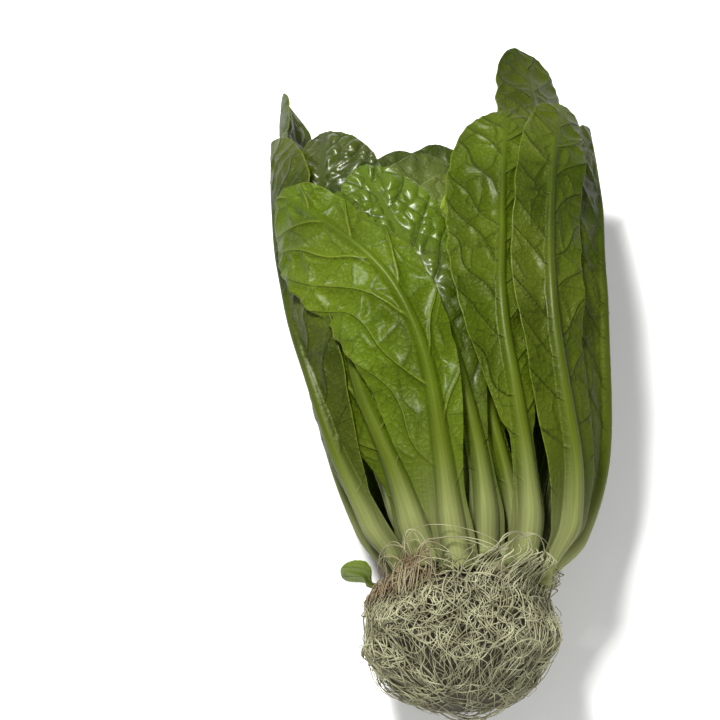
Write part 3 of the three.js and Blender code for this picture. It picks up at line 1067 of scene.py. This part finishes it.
    def sheet(self) -> Sheet:
        """Lays the whole leaf out as a grid, finer towards its tip and its midrib.

        Returns:
            The grid.
        """
        rows, columns = self.detail.value
        t = 1 - (1 - np.linspace(0, 1, rows)) ** 1.3
        even = np.linspace(-1, 1, columns)
        across = np.sign(even) * np.abs(even) ** 1.15
        s, angle, x = self.spread(t, across)
        tt = np.repeat(t[:, None], columns, 1)
        y = tt * self.midrib(t)[3]
        u, w = self.veins(x, y)
        rib_width = lerp(self.rib_half_width * self.stalk * self.breadth, self.rib_tip_half_width, tt**0.35)
        return Sheet(
            s=s, angle=angle, x=x, y=y, t=tt, u=u, w=w, rib_width=rib_width,
            share=np.abs(np.repeat(across[None], rows, 0)),
            gap=self.fields(u, w),
            opened=smoothstep(tt, 0.12, 0.42),
            off_rib=smoothstep(np.abs(x), 0.6 * rib_width, 1.5 * rib_width + 1.5),
        )

    def lift(self, at: Sheet) -> Array:
        """Finds how far the blade stands off its shell: its puffed fields, waves and heaves.

        Args:
            at: the leaf's grid.

        Returns:
            The millimetres outwards.
        """
        side = np.sign(at.x)
        puffed = smoothstep(at.gap, self.puff_from, self.puff_to)
        bulge = self.puff * puffed * at.off_rib * at.opened * (1 - 0.4 * at.share**3)
        bulge *= 1 + 0.45 * self.uneven(Seed.PUFFS, 30, at.x, at.y)
        # Fewer puffs where the lower blade is painted in shade.
        bulge *= 1 - 1.8 * self.lower_shade * (1 - smoothstep(at.t, 0.45, 0.75))
        ripple = np.sin(TURN * (3.2 * at.t + 0.37 * self.number + 0.3 * side))
        frill = np.sin(TURN * (8.3 * at.t + 0.21 * self.number) + 1.7 * side + 2 * np.sin(9 * at.t))
        waving = self.wave * at.opened * (1 - smoothstep(at.t, 0.9, 1))
        lift = waving * (ripple * at.share**2 + 0.3 * frill * at.share**4)
        heaved = self.heave * self.uneven(Seed.HEAVES, 30, at.x, at.y)
        lift = lift + heaved * at.opened * (0.3 + 0.7 * at.off_rib)
        lift = lift + self.flare * smoothstep(at.t, 0.25, 1) ** 1.5
        return lift + self.face.value * bulge

    def rise(self, at: Sheet) -> Array:
        """Finds how far the midrib and the side veins rise out of the outer face.

        Args:
            at: the leaf's grid.

        Returns:
            The millimetres, below 0 where the side veins lie sunk on an upper face.
        """
        height = SHELLS.rib(at.t) * self.stalk * (1 - smoothstep(at.t, 0.72, 0.97))
        if self.face is Face.UPPER:
            height = height * (1 - smoothstep(at.t, 0.3, 0.6))
        crest = np.clip(1 - (np.abs(at.x) / at.rib_width) ** 2, 0, 1) ** 0.8
        cord = np.exp(-((self.side_gap(at.u) / self.vein_half_width) ** 2)) * (1 - at.share)
        return height * crest - self.face.value * self.cord * cord * at.opened * at.off_rib

    def faces(self, at: Sheet) -> tuple[Array, Array]:
        """Places the leaf's two faces, with its foot tucked into the crown.

        Args:
            at: the leaf's grid.

        Returns:
            The points of the inner face and of the outer face.
        """
        out = SHELLS.outward(at.s, self.ring, at.angle)
        tuck = (1 - smoothstep(at.t, 0, self.tuck_reach)) ** 2
        reach = self.tuck + self.tuck_aside * np.abs(np.sin(at.angle))
        middle = SHELLS.place(at.s - self.sink * tuck, self.ring * (1 - reach * tuck), at.angle)
        middle = middle + out * self.lift(at)[..., None]
        thickness = lerp(self.edge, lerp(self.blade, self.foot_blade, 1 - at.opened), 1 - at.share**6)
        inner = middle - out * (thickness / 2)[..., None]
        outer = middle + out * (thickness / 2 + self.rise(at))[..., None]
        inner[..., 2] = np.maximum(inner[..., 2], self.inner_floor)
        outer[..., 2] = np.maximum(outer[..., 2], 0.0)
        return inner, outer

    def mark(self, mesh: bpy.types.Mesh, at: Sheet, which: tuple[Array, Array], is_outer: Array) -> None:
        """Stores what the finish reads at each point.

        Args:
            mesh: the leaf's mesh.
            at: the leaf's grid.
            which: the row and the column of each point.
            is_outer: whether each point is on the outer face.
        """
        upper = np.where(is_outer == (self.face is Face.UPPER), 1.0, 0.0)
        ribbed = smoothstep(at.rib_width - np.abs(at.x), 0, 0.7 * at.rib_width)
        bare = 1 - smoothstep(at.t + 0.1 * at.share, 0.1, 0.36)
        faded = (1 - 0.94 * smoothstep(at.t, 0.15, 0.5)) * (1 - smoothstep(at.t, 0.6, 0.9))
        pale = np.maximum(ribbed * faded, bare)
        # The leaf's tone, with painted shade on the lower part of the blade.
        tone_and_lighting = self.tone_and_lighting * (1 - self.lower_shade * (1 - smoothstep(at.t, 0.5, 0.8)))
        carry(mesh, "upper", upper)
        carry(mesh, "rib", ribbed[which])
        carry(mesh, "pale", pale[which] * np.where(upper > 0.5, 0.9, 1.0))
        carry(mesh, "foot", 1 - smoothstep(at.t[which], 0, 0.24))
        carry(mesh, "share", at.share[which])
        carry(mesh, "gap", at.gap[which])
        carry(mesh, "pitch", np.full(len(upper), self.pitch()))
        carry(mesh, "tone_and_lighting", tone_and_lighting[which])
        carry(mesh, "ridge_highlight", np.full(len(upper), self.ridge_highlight))
        unwrap(mesh, "blade", np.stack([at.x[which], at.y[which]], -1))
        unwrap(mesh, "veins", np.stack([at.u[which], at.w[which]], -1))

    def build(self) -> bpy.types.Object:
        """Builds the leaf.

        Returns:
            The closed, smooth mesh object, with its UV maps and attributes.
        """
        rows, columns = self.detail.value
        sheet = self.sheet()
        inner, outer = self.faces(sheet)
        piece = mesh_object(self.name + "_blade", slab(rows, columns, True))
        mesh = piece.data
        flat = points_of(mesh)
        which = grid_index(flat[:, 1], rows), grid_index(flat[:, 0], columns)
        is_outer = flat[:, 2] > 0.5
        points = np.where(is_outer[:, None], outer[which], inner[which])
        mesh.vertices.foreach_set("co", (points * MM).ravel())
        mesh.update()
        self.mark(mesh, sheet, which, is_outer)
        return piece


# ---- The leaves ----------------------------------------------------------------------------------------


@dataclass
class Leaves:
    """All leaves of the bunch, from the outermost ones on top to the heart."""

    green: LeafFinish
    heart: LeafFinish
    inner_stalk: float = 0.45
    made: dict[str, bpy.types.Object] = field(default_factory=dict)

    def front(self) -> list[Leaf]:
        """Lists the leaves that are in sight from above.

        Returns:
            One plan a leaf.
        """
        wavy = {"wave": 1.3}
        puckered = {"face": Face.UPPER, "vein_spacing": 20, "field_rows": 2, "field_length": 6.5, "lower_shade": 0.45}
        # The tones are partly each leaf's own and partly painted: darker on leaves lying in shade, and
        # lighter on front_leaf_g as painted light.
        return [
            Leaf("front_leaf_a", 1.0,
                 [(0, -8), (33, -9), (64, -12), (90, -20), (112, -34), (128, -46), (146, -60)],
                 (29, 14), 0.04, taper=0.88, tone_and_lighting=1.4, puff=1.3, cord=1.0, ridge_highlight=1.0, vein_spacing=26,
                 vein_slant=1.8, **wavy),
            Leaf("front_leaf_b", 1.0, [(0, 61), (29, 50), (61, 39), (99, 35), (156, 38), (194, 44)],
                 (14, 13), 0.04, taper=0.4, tone_and_lighting=0.7, **wavy),
            Leaf("front_leaf_c", 0.94, [(0, -63), (33, -63), (66, -68), (100, -78), (150, -82), (192, -80)],
                 (20, 26), 0.12, tone_and_lighting=0.42),
            Leaf("front_leaf_d", 0.91, [(0, 27), (60, 20), (90, 18), (120, 20), (184, 23)],
                 (21, 18), 0.2, taper=0.8),
            Leaf("front_leaf_e", 0.93, [(0, 91), (36, 83), (68, 72), (113, 68), (174, 75), (200, 76)],
                 (18, 19), 0.12, taper=0.7, tone_and_lighting=0.52),
            Leaf("front_leaf_f", 0.88, [(0, -28), (27, -36), (45, -41), (63, -43), (90, -40), (140, -37)],
                 (22, 14), 0.12, breadth=1.3, ridge_highlight=0.6),
            Leaf("front_leaf_g", 0.81, [(0, 5), (40, 3), (80, -4), (112, -14), (156, -30)],
                 (19, 19), 0.2, tone_and_lighting=1.9, puff=2.4, **puckered),
            Leaf("front_leaf_h", 0.65, [(0, 26), (50, 13), (95, 10), (124, 11)], (10, 10), 0.3),
            Leaf("front_leaf_i", 0.7, [(0, -56), (21, -54), (54, -52), (94, -55), (127, -55), (190, -50)],
                 (25, 25), 0.2, tone_and_lighting=0.5, puff=2.0, **puckered),
            Leaf("tall_leaf", 0.72, [(0, 74), (80, 48), (160, 45), (225, 43), (250, 36)],
                 (17, 17), 0.2, taper=0.5, tone_and_lighting=0.32),
        ]

    def back(self) -> list[Leaf]:
        """Lists the leaves that the others lie on; the broad ones close the gaps between the front stalks.

        Returns:
            One plan a leaf.
        """
        # Painted shade: the back leaves are painted darker, as they lie under the others.
        shade = {"tone_and_lighting": 0.62}
        side = {"detail": Detail.SIDE}
        hidden = {"detail": Detail.HIDDEN}
        return [
            Leaf("back_leaf_a", 1.0, [(0, 150), (60, 158), (206, 162)], (33, 16), 0.15, **side, **shade),
            Leaf("back_leaf_b", 1.0, [(0, -150), (60, -158), (210, -162)], (16, 33), 0.15, **side, **shade),
            Leaf("back_leaf_c", 0.86, [(0, -105), (80, -111), (160, -116), (240, -110)],
                 (20, 24), 0.15, taper=0.6, tone_and_lighting=0.45, **side),
            Leaf("back_leaf_d", 0.86, [(0, 122), (80, 112), (200, 108)],
                 (24, 20), 0.15, breadth=1.4, **side, **shade),
            Leaf("back_leaf_e", 0.9, [(0, 180), (80, 178), (228, 176)], (31, 31), 0.15, **side, **shade),
            Leaf("back_leaf_f", 0.79, [(0, -143), (80, -142), (222, -146)],
                 (29, 29), 0.08, breadth=1.5, **hidden, **shade),
            Leaf("back_leaf_g", 0.78, [(0, 154), (80, 142), (226, 138)],
                 (29, 29), 0.08, breadth=1.5, **hidden, **shade),
            Leaf("back_leaf_h", 0.7, [(0, -168), (80, -168), (218, -168)],
                 (29, 29), 0.15, breadth=1.4, **hidden, **shade),
        ]

    def inner(self) -> list[Leaf]:
        """Lists the heart leaves.

        Returns:
            One plan a leaf.
        """
        hidden = {"detail": Detail.HIDDEN}
        return [
            # heart_leaf_a, d and e are painted darker as painted shade, where they show between the outer
            # leaves.
            Leaf("heart_leaf_a", 0.58, [(0, 175), (80, 178), (212, 184)], (29, 29), 0.2, tone_and_lighting=0.2, **hidden),
            Leaf("heart_leaf_b", 0.56, [(0, -90), (80, -92), (200, -96)], (25, 25), 0.2, **hidden),
            Leaf("heart_leaf_c", 0.5, [(0, 88), (80, 94), (198, 100)], (25, 25), 0.2, **hidden),
            Leaf("heart_leaf_d", 0.45, [(0, 0), (80, -8), (150, -24)], (20, 20), 0.2, tone_and_lighting=0.3, **hidden),
            Leaf("heart_leaf_e", 0.33, [(0, 150), (80, 160), (190, 170)], (24, 24), 0.2, tone_and_lighting=0.2, **hidden),
            Leaf("heart_leaf_f", 0.24, [(0, 40), (80, 36), (172, 34)], (17, 17), 0.2, **hidden),
        ]

    def plans(self) -> list[Leaf]:
        """Lists all leaves: an inner one starts further up the crown, and its stalk is thinner.

        Returns:
            One plan a leaf, in the order of the solids.
        """
        plans = [*self.front(), *self.back(), *self.inner()]
        for leaf in plans:
            leaf.course[0] = (leaf.crown_gap + leaf.crown_height * (1 - leaf.ring), leaf.course[0][1])
            leaf.stalk = lerp(self.inner_stalk, 1, leaf.ring)
        plans.append(Leaf(
            "first_leaf", 1.04, [(0.6, -88), (4, -87), (9, -86)], (8.5, 8.5), 0.04, tone_and_lighting=1.25, puff=0.15,
            heave=0.2, stalk=0.35, flare=6, cord=0.2, wave=0, detail=Detail.HIDDEN,
        ))
        for number, leaf in enumerate(plans):
            leaf.number = number
        return plans

    def build(self) -> None:
        """Builds every leaf's mesh."""
        for plan in self.plans():
            self.made[plan.name] = plan.build()

    def dress(self) -> None:
        """Gives every leaf its skin and ties it to its solid."""
        green, heart = self.green.material(), self.heart.material()
        for name, piece in self.made.items():
            pale = name.startswith(("heart", "first"))
            fit(piece, [name], heart if pale else green)


# ---- The crown -----------------------------------------------------------------------------------------


@dataclass
class Crown:
    """The two shortened stems, grown together."""

    finish: StemFinish
    depth: float = 3.0
    height: float = 30.0
    top: float = 24.0
    girth: float = 0.74
    inset: float = 0.045
    lumps: int = 7
    lump_height: float = 0.05
    lump_twist: float = 0.4
    lumps_from: float = 8.0
    least_girth: float = 1e-4
    rows: int = 40
    columns: int = 73
    made: bpy.types.Object | None = None

    def build(self) -> None:
        """Builds the stem: a lumpy cone, closed at both ends."""
        s = np.linspace(-self.depth, self.top, self.rows)
        angle = np.linspace(-math.pi, math.pi, self.columns)
        ss, aa = np.meshgrid(s, angle, indexing="ij")
        ring = np.minimum(self.girth, 1 - ss / self.height - self.inset)
        lumps = 1 + np.sin(self.lumps * aa + self.lump_twist * ss)
        ring = ring * (1 - self.lump_height * lumps * smoothstep(ss, 0, self.lumps_from))
        ring[0], ring[-1] = self.least_girth, self.least_girth
        self.made = wrapped("stem", SHELLS.place(ss, ring, aa))

    def dress(self) -> None:
        """Gives the stem its flesh and ties it to its solid."""
        fit(self.made, ["crown"], self.finish.material())


# ---- The roots -----------------------------------------------------------------------------------------

Route = tuple[Array, float]


@dataclass
class Roots:
    """The root mat: a fibrous core under a tangle of thin roots."""

    loose: RootFinish
    core: RootFinish
    length: float = 36.0
    half_width: float = 28.5
    half_depth: float = 22.0
    widest_at: float = 0.32
    roundness: float = 0.72
    floor_gap: float = 0.4
    shift: float = -2.0
    crown_depth: float = 2.0
    core_sink: float = 1.6
    core_rows: int = 60
    core_columns: int = 145
    hanging: int = 300
    tangled: int = 230
    curled: int = 130
    capped: int = 90
    looped: int = 30
    collared: int = 120
    lap: float = 7.0
    thickest: float = 0.25
    thinnest: float = 0.1
    seed: int = 8
    made: list[bpy.types.Object] = field(default_factory=list)

    def surface(self, u: Array, angle: Array, over: Any) -> Array:
        """Finds points over the root mat.

        Args:
            u: shares of the way down the mat.
            angle: angles round it from straight up.
            over: millimetres over its surface.

        Returns:
            The points, along a new last axis.
        """
        u, angle = np.asarray(u, float), np.asarray(angle, float)
        swell = np.sqrt(np.clip(1 - ((u - self.widest_at) / self.roundness) ** 2, 0, None))
        lump = 1.1 * np.sin(3 * angle + 9 * u) + 0.8 * np.sin(7 * angle - 14 * u + 1)
        x = SHELLS.axis_x + self.shift + (self.half_width * swell + lump + over) * np.sin(angle)
        z = SHELLS.axis_height(0.0) + (self.half_depth * swell + lump + over) * np.cos(angle)
        y = SHELLS.crown_y - self.crown_depth - u * self.length
        return np.stack([x, y + 0 * x, np.maximum(z, self.floor_gap)], -1)

    def draped(self, s: Array, angle: Array, over: Any) -> Array:
        """Finds points over the mat below the crown, and over the leaves' feet above it.

        Args:
            s: distances above the crown, below 0 over the mat.
            angle: angles round from straight up.
            over: millimetres over the surface.

        Returns:
            The points, along a new last axis.
        """
        s, over = np.asarray(s, float), np.broadcast_to(over, np.shape(s))
        mat = self.surface(np.maximum(-s, 0) / self.length, angle, over + 1)
        feet = SHELLS.place(np.maximum(s, 0), 1.13 - 0.2 * np.sin(angle) ** 2 + over / 30, angle)
        points = lerp(mat, feet, smoothstep(s, -self.lap, 1)[..., None])
        points[..., 2] = np.maximum(points[..., 2], self.floor_gap)
        return points

    def build_core(self) -> None:
        """Builds the fibrous core under the loose roots."""
        u = np.concatenate([[0.0, 0.0], np.linspace(0.03, 1.0, self.core_rows), [1.0]])
        angle = np.linspace(-math.pi, math.pi, self.core_columns)
        uu, aa = np.meshgrid(u, angle, indexing="ij")
        rough = Unevenness(3, 0.16)(aa, uu) + 0.5 * Unevenness(4, 0.07)(aa, uu * 0.6)
        points = self.surface(uu, aa, -self.core_sink + 0.5 * rough)
        for row in (0, -1):
            points[row] = points[row].mean(0)
        core = wrapped("root_core", points)
        count = len(core.data.vertices)
        carry(core.data, "tan", np.full(count, 0.5))
        carry(core.data, "stain", np.full(count, 0.3))
        self.made.append(core)

    def hanging_root(self, random: np.random.Generator) -> Route:
        """Lays out a root that hangs down the mat, its end tucked in or, on one in four, free.

        Args:
            random: where its chances are drawn from.

        Returns:
            The points that it follows, and its thickness as a share.
        """
        pick, n = random.uniform, 9
        start = pick(-math.pi, math.pi)
        down = np.linspace(pick(-0.12, 0.25), pick(0.75, 1.035), n)
        drift = np.cumsum(random.normal(0, 0.11, n))
        over = pick(-0.6, 1.2) + np.cumsum(random.normal(0, 0.35, n))
        over[0], over[-1] = -2.0, -2.0 if pick(0, 1) < 0.75 else pick(1, 3.4)
        return self.surface(down, start + drift, np.clip(over, -2, 3.4)), pick(0.2, 1)

    def tangled_root(self, random: np.random.Generator) -> Route:
        """Lays out a root that wanders across the mat, both ends tucked in.

        Args:
            random: where its chances are drawn from.

        Returns:
            The points that it follows, and its thickness as a share.
        """
        pick, n = random.uniform, 8
        start, at = pick(-math.pi, math.pi), pick(0.0, 0.9)
        angle = start + np.linspace(0, pick(-1.1, 1.1), n) + random.normal(0, 0.04, n)
        down = np.clip(at + np.cumsum(random.normal(0, 0.06, n)), -0.04, 0.98)
        over = pick(0.0, 2.2) + random.normal(0, 0.5, n)
        over[0], over[-1] = -1.5, -1.5
        return self.surface(down, angle, np.clip(over, -1.5, 3.6)), pick(0, 1)

    def curled_root(self, random: np.random.Generator) -> Route:
        """Lays out a root that curls round on the mat.

        Args:
            random: where its chances are drawn from.

        Returns:
            The points that it follows, and its thickness as a share.
        """
        pick, n = random.uniform, 12
        turn = np.linspace(0, pick(0.6, 1.15) * TURN, n) + pick(0, TURN)
        reach = pick(3, 9) * (1 + 0.12 * np.sin(2 * turn + pick(0, TURN)))
        at, start = pick(0.02, 0.93), pick(-math.pi, math.pi)
        down = np.clip(at + reach * np.sin(turn) / self.length, -0.12, 0.96)
        angle = start + reach * np.cos(turn) / self.half_width
        over = pick(0.6, 2.6) + 0.9 * np.sin(turn + pick(0, TURN))
        return self.surface(down, angle, over), pick(0, 0.7)

    def capping_root(self, random: np.random.Generator) -> Route:
        """Lays out a root that bows over the mat's lower end.

        Args:
            random: where its chances are drawn from.

        Returns:
            The points that it follows, and its thickness as a share.
        """
        pick, n = random.uniform, 9
        start = pick(-math.pi, math.pi)
        ends = start, start + pick(1.2, 4.2)
        near, far = (self.surface(pick(0.8, 0.94), a, pick(-0.5, 1)) for a in ends)
        chord = lerp(near, far, np.linspace(0, 1, n)[:, None]) + random.normal(0, 0.35, (n, 3))
        chord[:, 1] -= pick(2.5, 5.5) * np.sin(np.linspace(0, math.pi, n)) ** 0.7
        return chord, pick(0.1, 1)

    def looped_root(self, random: np.random.Generator) -> Route:
        """Lays out a root that loops up over the leaves' feet, most of them on the left.

        Args:
            random: where its chances are drawn from.

        Returns:
            The points that it follows, and its thickness as a share.
        """
        pick, n = random.uniform, 15
        middle = math.radians(pick(-58, -18) if pick(0, 1) < 0.65 else pick(-40, 40))
        turn = np.linspace(pick(-0.5, 0.1), math.pi + pick(-0.3, 0.9), n)
        high, wide = pick(4, 13), math.radians(pick(5, 24))
        s = high * np.sin(turn) - pick(3, 8) + 0.5 * np.cumsum(random.normal(0, 0.4, n))
        angle = middle - wide * np.cos(turn) + pick(-0.1, 0.1) * turn
        over = 1.2 * np.sin(turn) + pick(-0.2, 1.6) + random.normal(0, 0.15, n)
        return self.draped(s, angle, over), pick(0.1, 0.9)

    def collar_root(self, random: np.random.Generator) -> Route:
        """Lays out a root that leaves the stem among the leaves' feet and runs down to the mat.

        Args:
            random: where its chances are drawn from.

        Returns:
            The points that it follows, and its thickness as a share.
        """
        pick, n = random.uniform, 7
        start = pick(-math.pi, math.pi) + 0.25 * np.sin(5 * pick(0, TURN))
        s = np.linspace(pick(-1, 4), -pick(5, 16), n)
        angle = start + np.cumsum(random.normal(0, 0.045, n))
        over = pick(-0.9, 0.9) + random.normal(0, 0.25, n)
        over[0], over[-1] = -2.5, -2.5
        return self.draped(s, angle, over), pick(0.1, 1)

    def routes(self) -> list[Route]:
        """Lays out all loose roots, one kind after the other.

        Returns:
            The points that each follows, and its thickness as a share.
        """
        random = np.random.default_rng(self.seed)
        kinds = (
            (self.hanging, self.hanging_root),
            (self.tangled, self.tangled_root),
            (self.curled, self.curled_root),
            (self.capped, self.capping_root),
            (self.looped, self.looped_root),
            (self.collared, self.collar_root),
        )
        return [lay_out(random) for count, lay_out in kinds for _ in range(count)]

    def tubes(self) -> bpy.types.Mesh:
        """Makes the loose roots' mesh.

        Returns:
            Thin closed tubes that taper to their ends.
        """
        curve = bpy.data.curves.new("loose_roots", "CURVE")
        curve.dimensions = "3D"
        curve.bevel_depth = 1.0
        curve.bevel_resolution = 0
        curve.use_fill_caps = True
        for points, weight in self.routes():
            path = through(points, 3 * len(points) - 2)
            spline = curve.splines.new("POLY")
            spline.points.add(len(path) - 1)
            radius = lerp(self.thinnest, self.thickest, weight)
            taper = radius * (1 - 0.55 * np.abs(np.linspace(-0.35, 1, len(path))) ** 1.5)
            for knot, place, size in zip(spline.points, path, taper):
                knot.co = (*(place * MM), 1)
                knot.radius = size * MM
        holder = linked("loose_roots_curve", curve)
        bpy.context.view_layer.update()
        mesh = bpy.data.meshes.new_from_object(holder.evaluated_get(bpy.context.evaluated_depsgraph_get()))
        bpy.data.objects.remove(holder)
        mesh.name = "loose_roots"
        return mesh

    def build_loose(self) -> None:
        """Builds the loose roots, tanned in patches and stained near the stem on the left."""
        made = smooth_object("loose_roots", self.tubes())
        x, y, z = (points_of(made.data) / MM).T
        down = (SHELLS.crown_y - y) / self.length
        near_stem = 1 - smoothstep(np.abs(down - 0.05), 0.05, 0.3)
        carry(made.data, "tan", np.clip(0.45 + 0.5 * Unevenness(6, 9)(x, y + z), 0, 1))
        carry(made.data, "stain", 0.55 * near_stem * smoothstep(-x, -4, 18))
        self.made.append(made)

    def build(self) -> None:
        """Builds the core and the loose roots."""
        self.build_core()
        self.build_loose()

    def dress(self) -> None:
        """Gives the roots their finish and ties them to their solid."""
        for piece, finish in zip(self.made, (self.core, self.loose)):
            fit(piece, ["root_mat"], finish.material())


# ---- The stage -----------------------------------------------------------------------------------------


def aimed(direction: Vector) -> Euler:
    """Returns the turn that points a lamp or a camera in a direction."""
    return direction.to_track_quat("-Z", "Y").to_euler()


@dataclass(frozen=True)
class Lamp:
    """A square lamp that points at the head, placed in metres."""

    name: str
    place: Triple
    size: float
    watts: float

    def build(self) -> None:
        """Hangs the lamp."""
        data = bpy.data.lights.new(self.name, "AREA")
        data.size = self.size
        data.energy = self.watts
        made = linked(self.name, data)
        made.location = self.place
        made.rotation_euler = aimed(-Vector(self.place))


@dataclass(frozen=True)
class Studio:
    """A pale table, soft lights and the camera, placed in metres."""

    floor: FloorFinish
    lamps: tuple[Lamp, ...] = (
        Lamp("key", (-0.35, 0.3, 0.85), 0.2, 20.0),
        Lamp("fill", (0.3, -0.8, 0.6), 0.6, 8.0),
    )
    table_half_width: float = 1.5
    target: Triple = (-0.0301, -0.0203, 0.03)
    elevation: float = 54.0
    distance: float = 0.4
    lens: float = 55.0
    sky: Colour = (1.0, 1.0, 1.0)
    sky_strength: float = 0.32

    def build(self) -> None:
        """Builds the table, the lights, the sky and the camera."""
        self.table()
        for lamp in self.lamps:
            lamp.build()
        self.heaven()
        self.camera()

    def table(self) -> None:
        """Lays the table top at height 0."""
        bm = slab(2, 2, False)
        bmesh.ops.scale(bm, vec=(self.table_half_width,) * 3, verts=bm.verts[:])
        table = mesh_object("table", bm)
        table.data.materials.append(self.floor.material())
        table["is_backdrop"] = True

    def heaven(self) -> None:
        """Lights the scene evenly from all round, and shows colours as they are."""
        world = bpy.data.worlds.new("sky")
        world.use_nodes = True
        background = world.node_tree.nodes["Background"]
        background.inputs["Color"].default_value = (*self.sky, 1.0)
        background.inputs["Strength"].default_value = self.sky_strength
        bpy.context.scene.world = world
        bpy.context.scene.view_settings.view_transform = "Standard"

    def camera(self) -> None:
        """Sets the camera over the foot of the head, looking down along it."""
        data = bpy.data.cameras.new("camera")
        data.lens = self.lens
        made = linked("camera", data)
        tilt = math.radians(self.elevation)
        back = Vector((0, -math.cos(tilt), math.sin(tilt)))
        made.location = Vector(self.target) + back * self.distance
        made.rotation_euler = aimed(-back)
        bpy.context.scene.camera = made


# ---- The head ------------------------------------------------------------------------------------------

GREEN = LeafFinish(
    name="green_leaf",
    upper=(0.034, 0.056, 0.001),
    under=(0.046, 0.072, 0.002),
    vein=(0.13, 0.165, 0.015),
    stalk=(0.066, 0.088, 0.006),
    foot=(0.17, 0.186, 0.068),
    glow=(0.4, 0.55, 0.02),
)
# The heart leaves are pale, as inner leaves are, and brightened further as painted light so the deep gaps
# between the outer leaves show green.
HEART = LeafFinish(
    name="heart_leaf",
    upper=(0.12, 0.2, 0.006),
    under=(0.15, 0.22, 0.012),
    vein=(0.24, 0.3, 0.05),
    stalk=(0.2, 0.25, 0.04),
    foot=(0.24, 0.27, 0.08),
    glow=(0.4, 0.5, 0.03),
)
ROOT = RootFinish(name="roots", cream=(0.32, 0.315, 0.19), tan=(0.13, 0.12, 0.065), stain=(0.12, 0.05, 0.02))
# Painted shade: the core is painted near black, for the shade deep in the tangle between the loose roots.
CORE = RootFinish(
    name="root_core",
    cream=(0.06, 0.06, 0.035),
    tan=(0.025, 0.025, 0.015),
    stain=(0.04, 0.02, 0.01),
)
STEM = StemFinish(name="stem", flesh=(0.12, 0.14, 0.04), scar=(0.09, 0.07, 0.03))
TABLE = FloorFinish(name="table_top", colour=(0.68, 0.68, 0.67))


def main() -> None:
    """Builds the head piece by piece, then the studio."""
    logging.basicConfig(level=logging.INFO)
    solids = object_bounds()
    for part in (Leaves(GREEN, HEART), Crown(STEM), Roots(ROOT, CORE)):
        part.build()
        part.dress()
        log.info("%s built", type(part).__name__)
    Studio(TABLE).build()
    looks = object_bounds()
    boxes = {"solids": [list(c) for c in solids], "looks": [list(c) for c in looks]}
    in_mm = {k: [[round(v / MM, 1) for v in c] for c in b] for k, b in boxes.items()}
    log.info("boxes in mm: %s", in_mm)


if __name__ == "__main__":
    main()
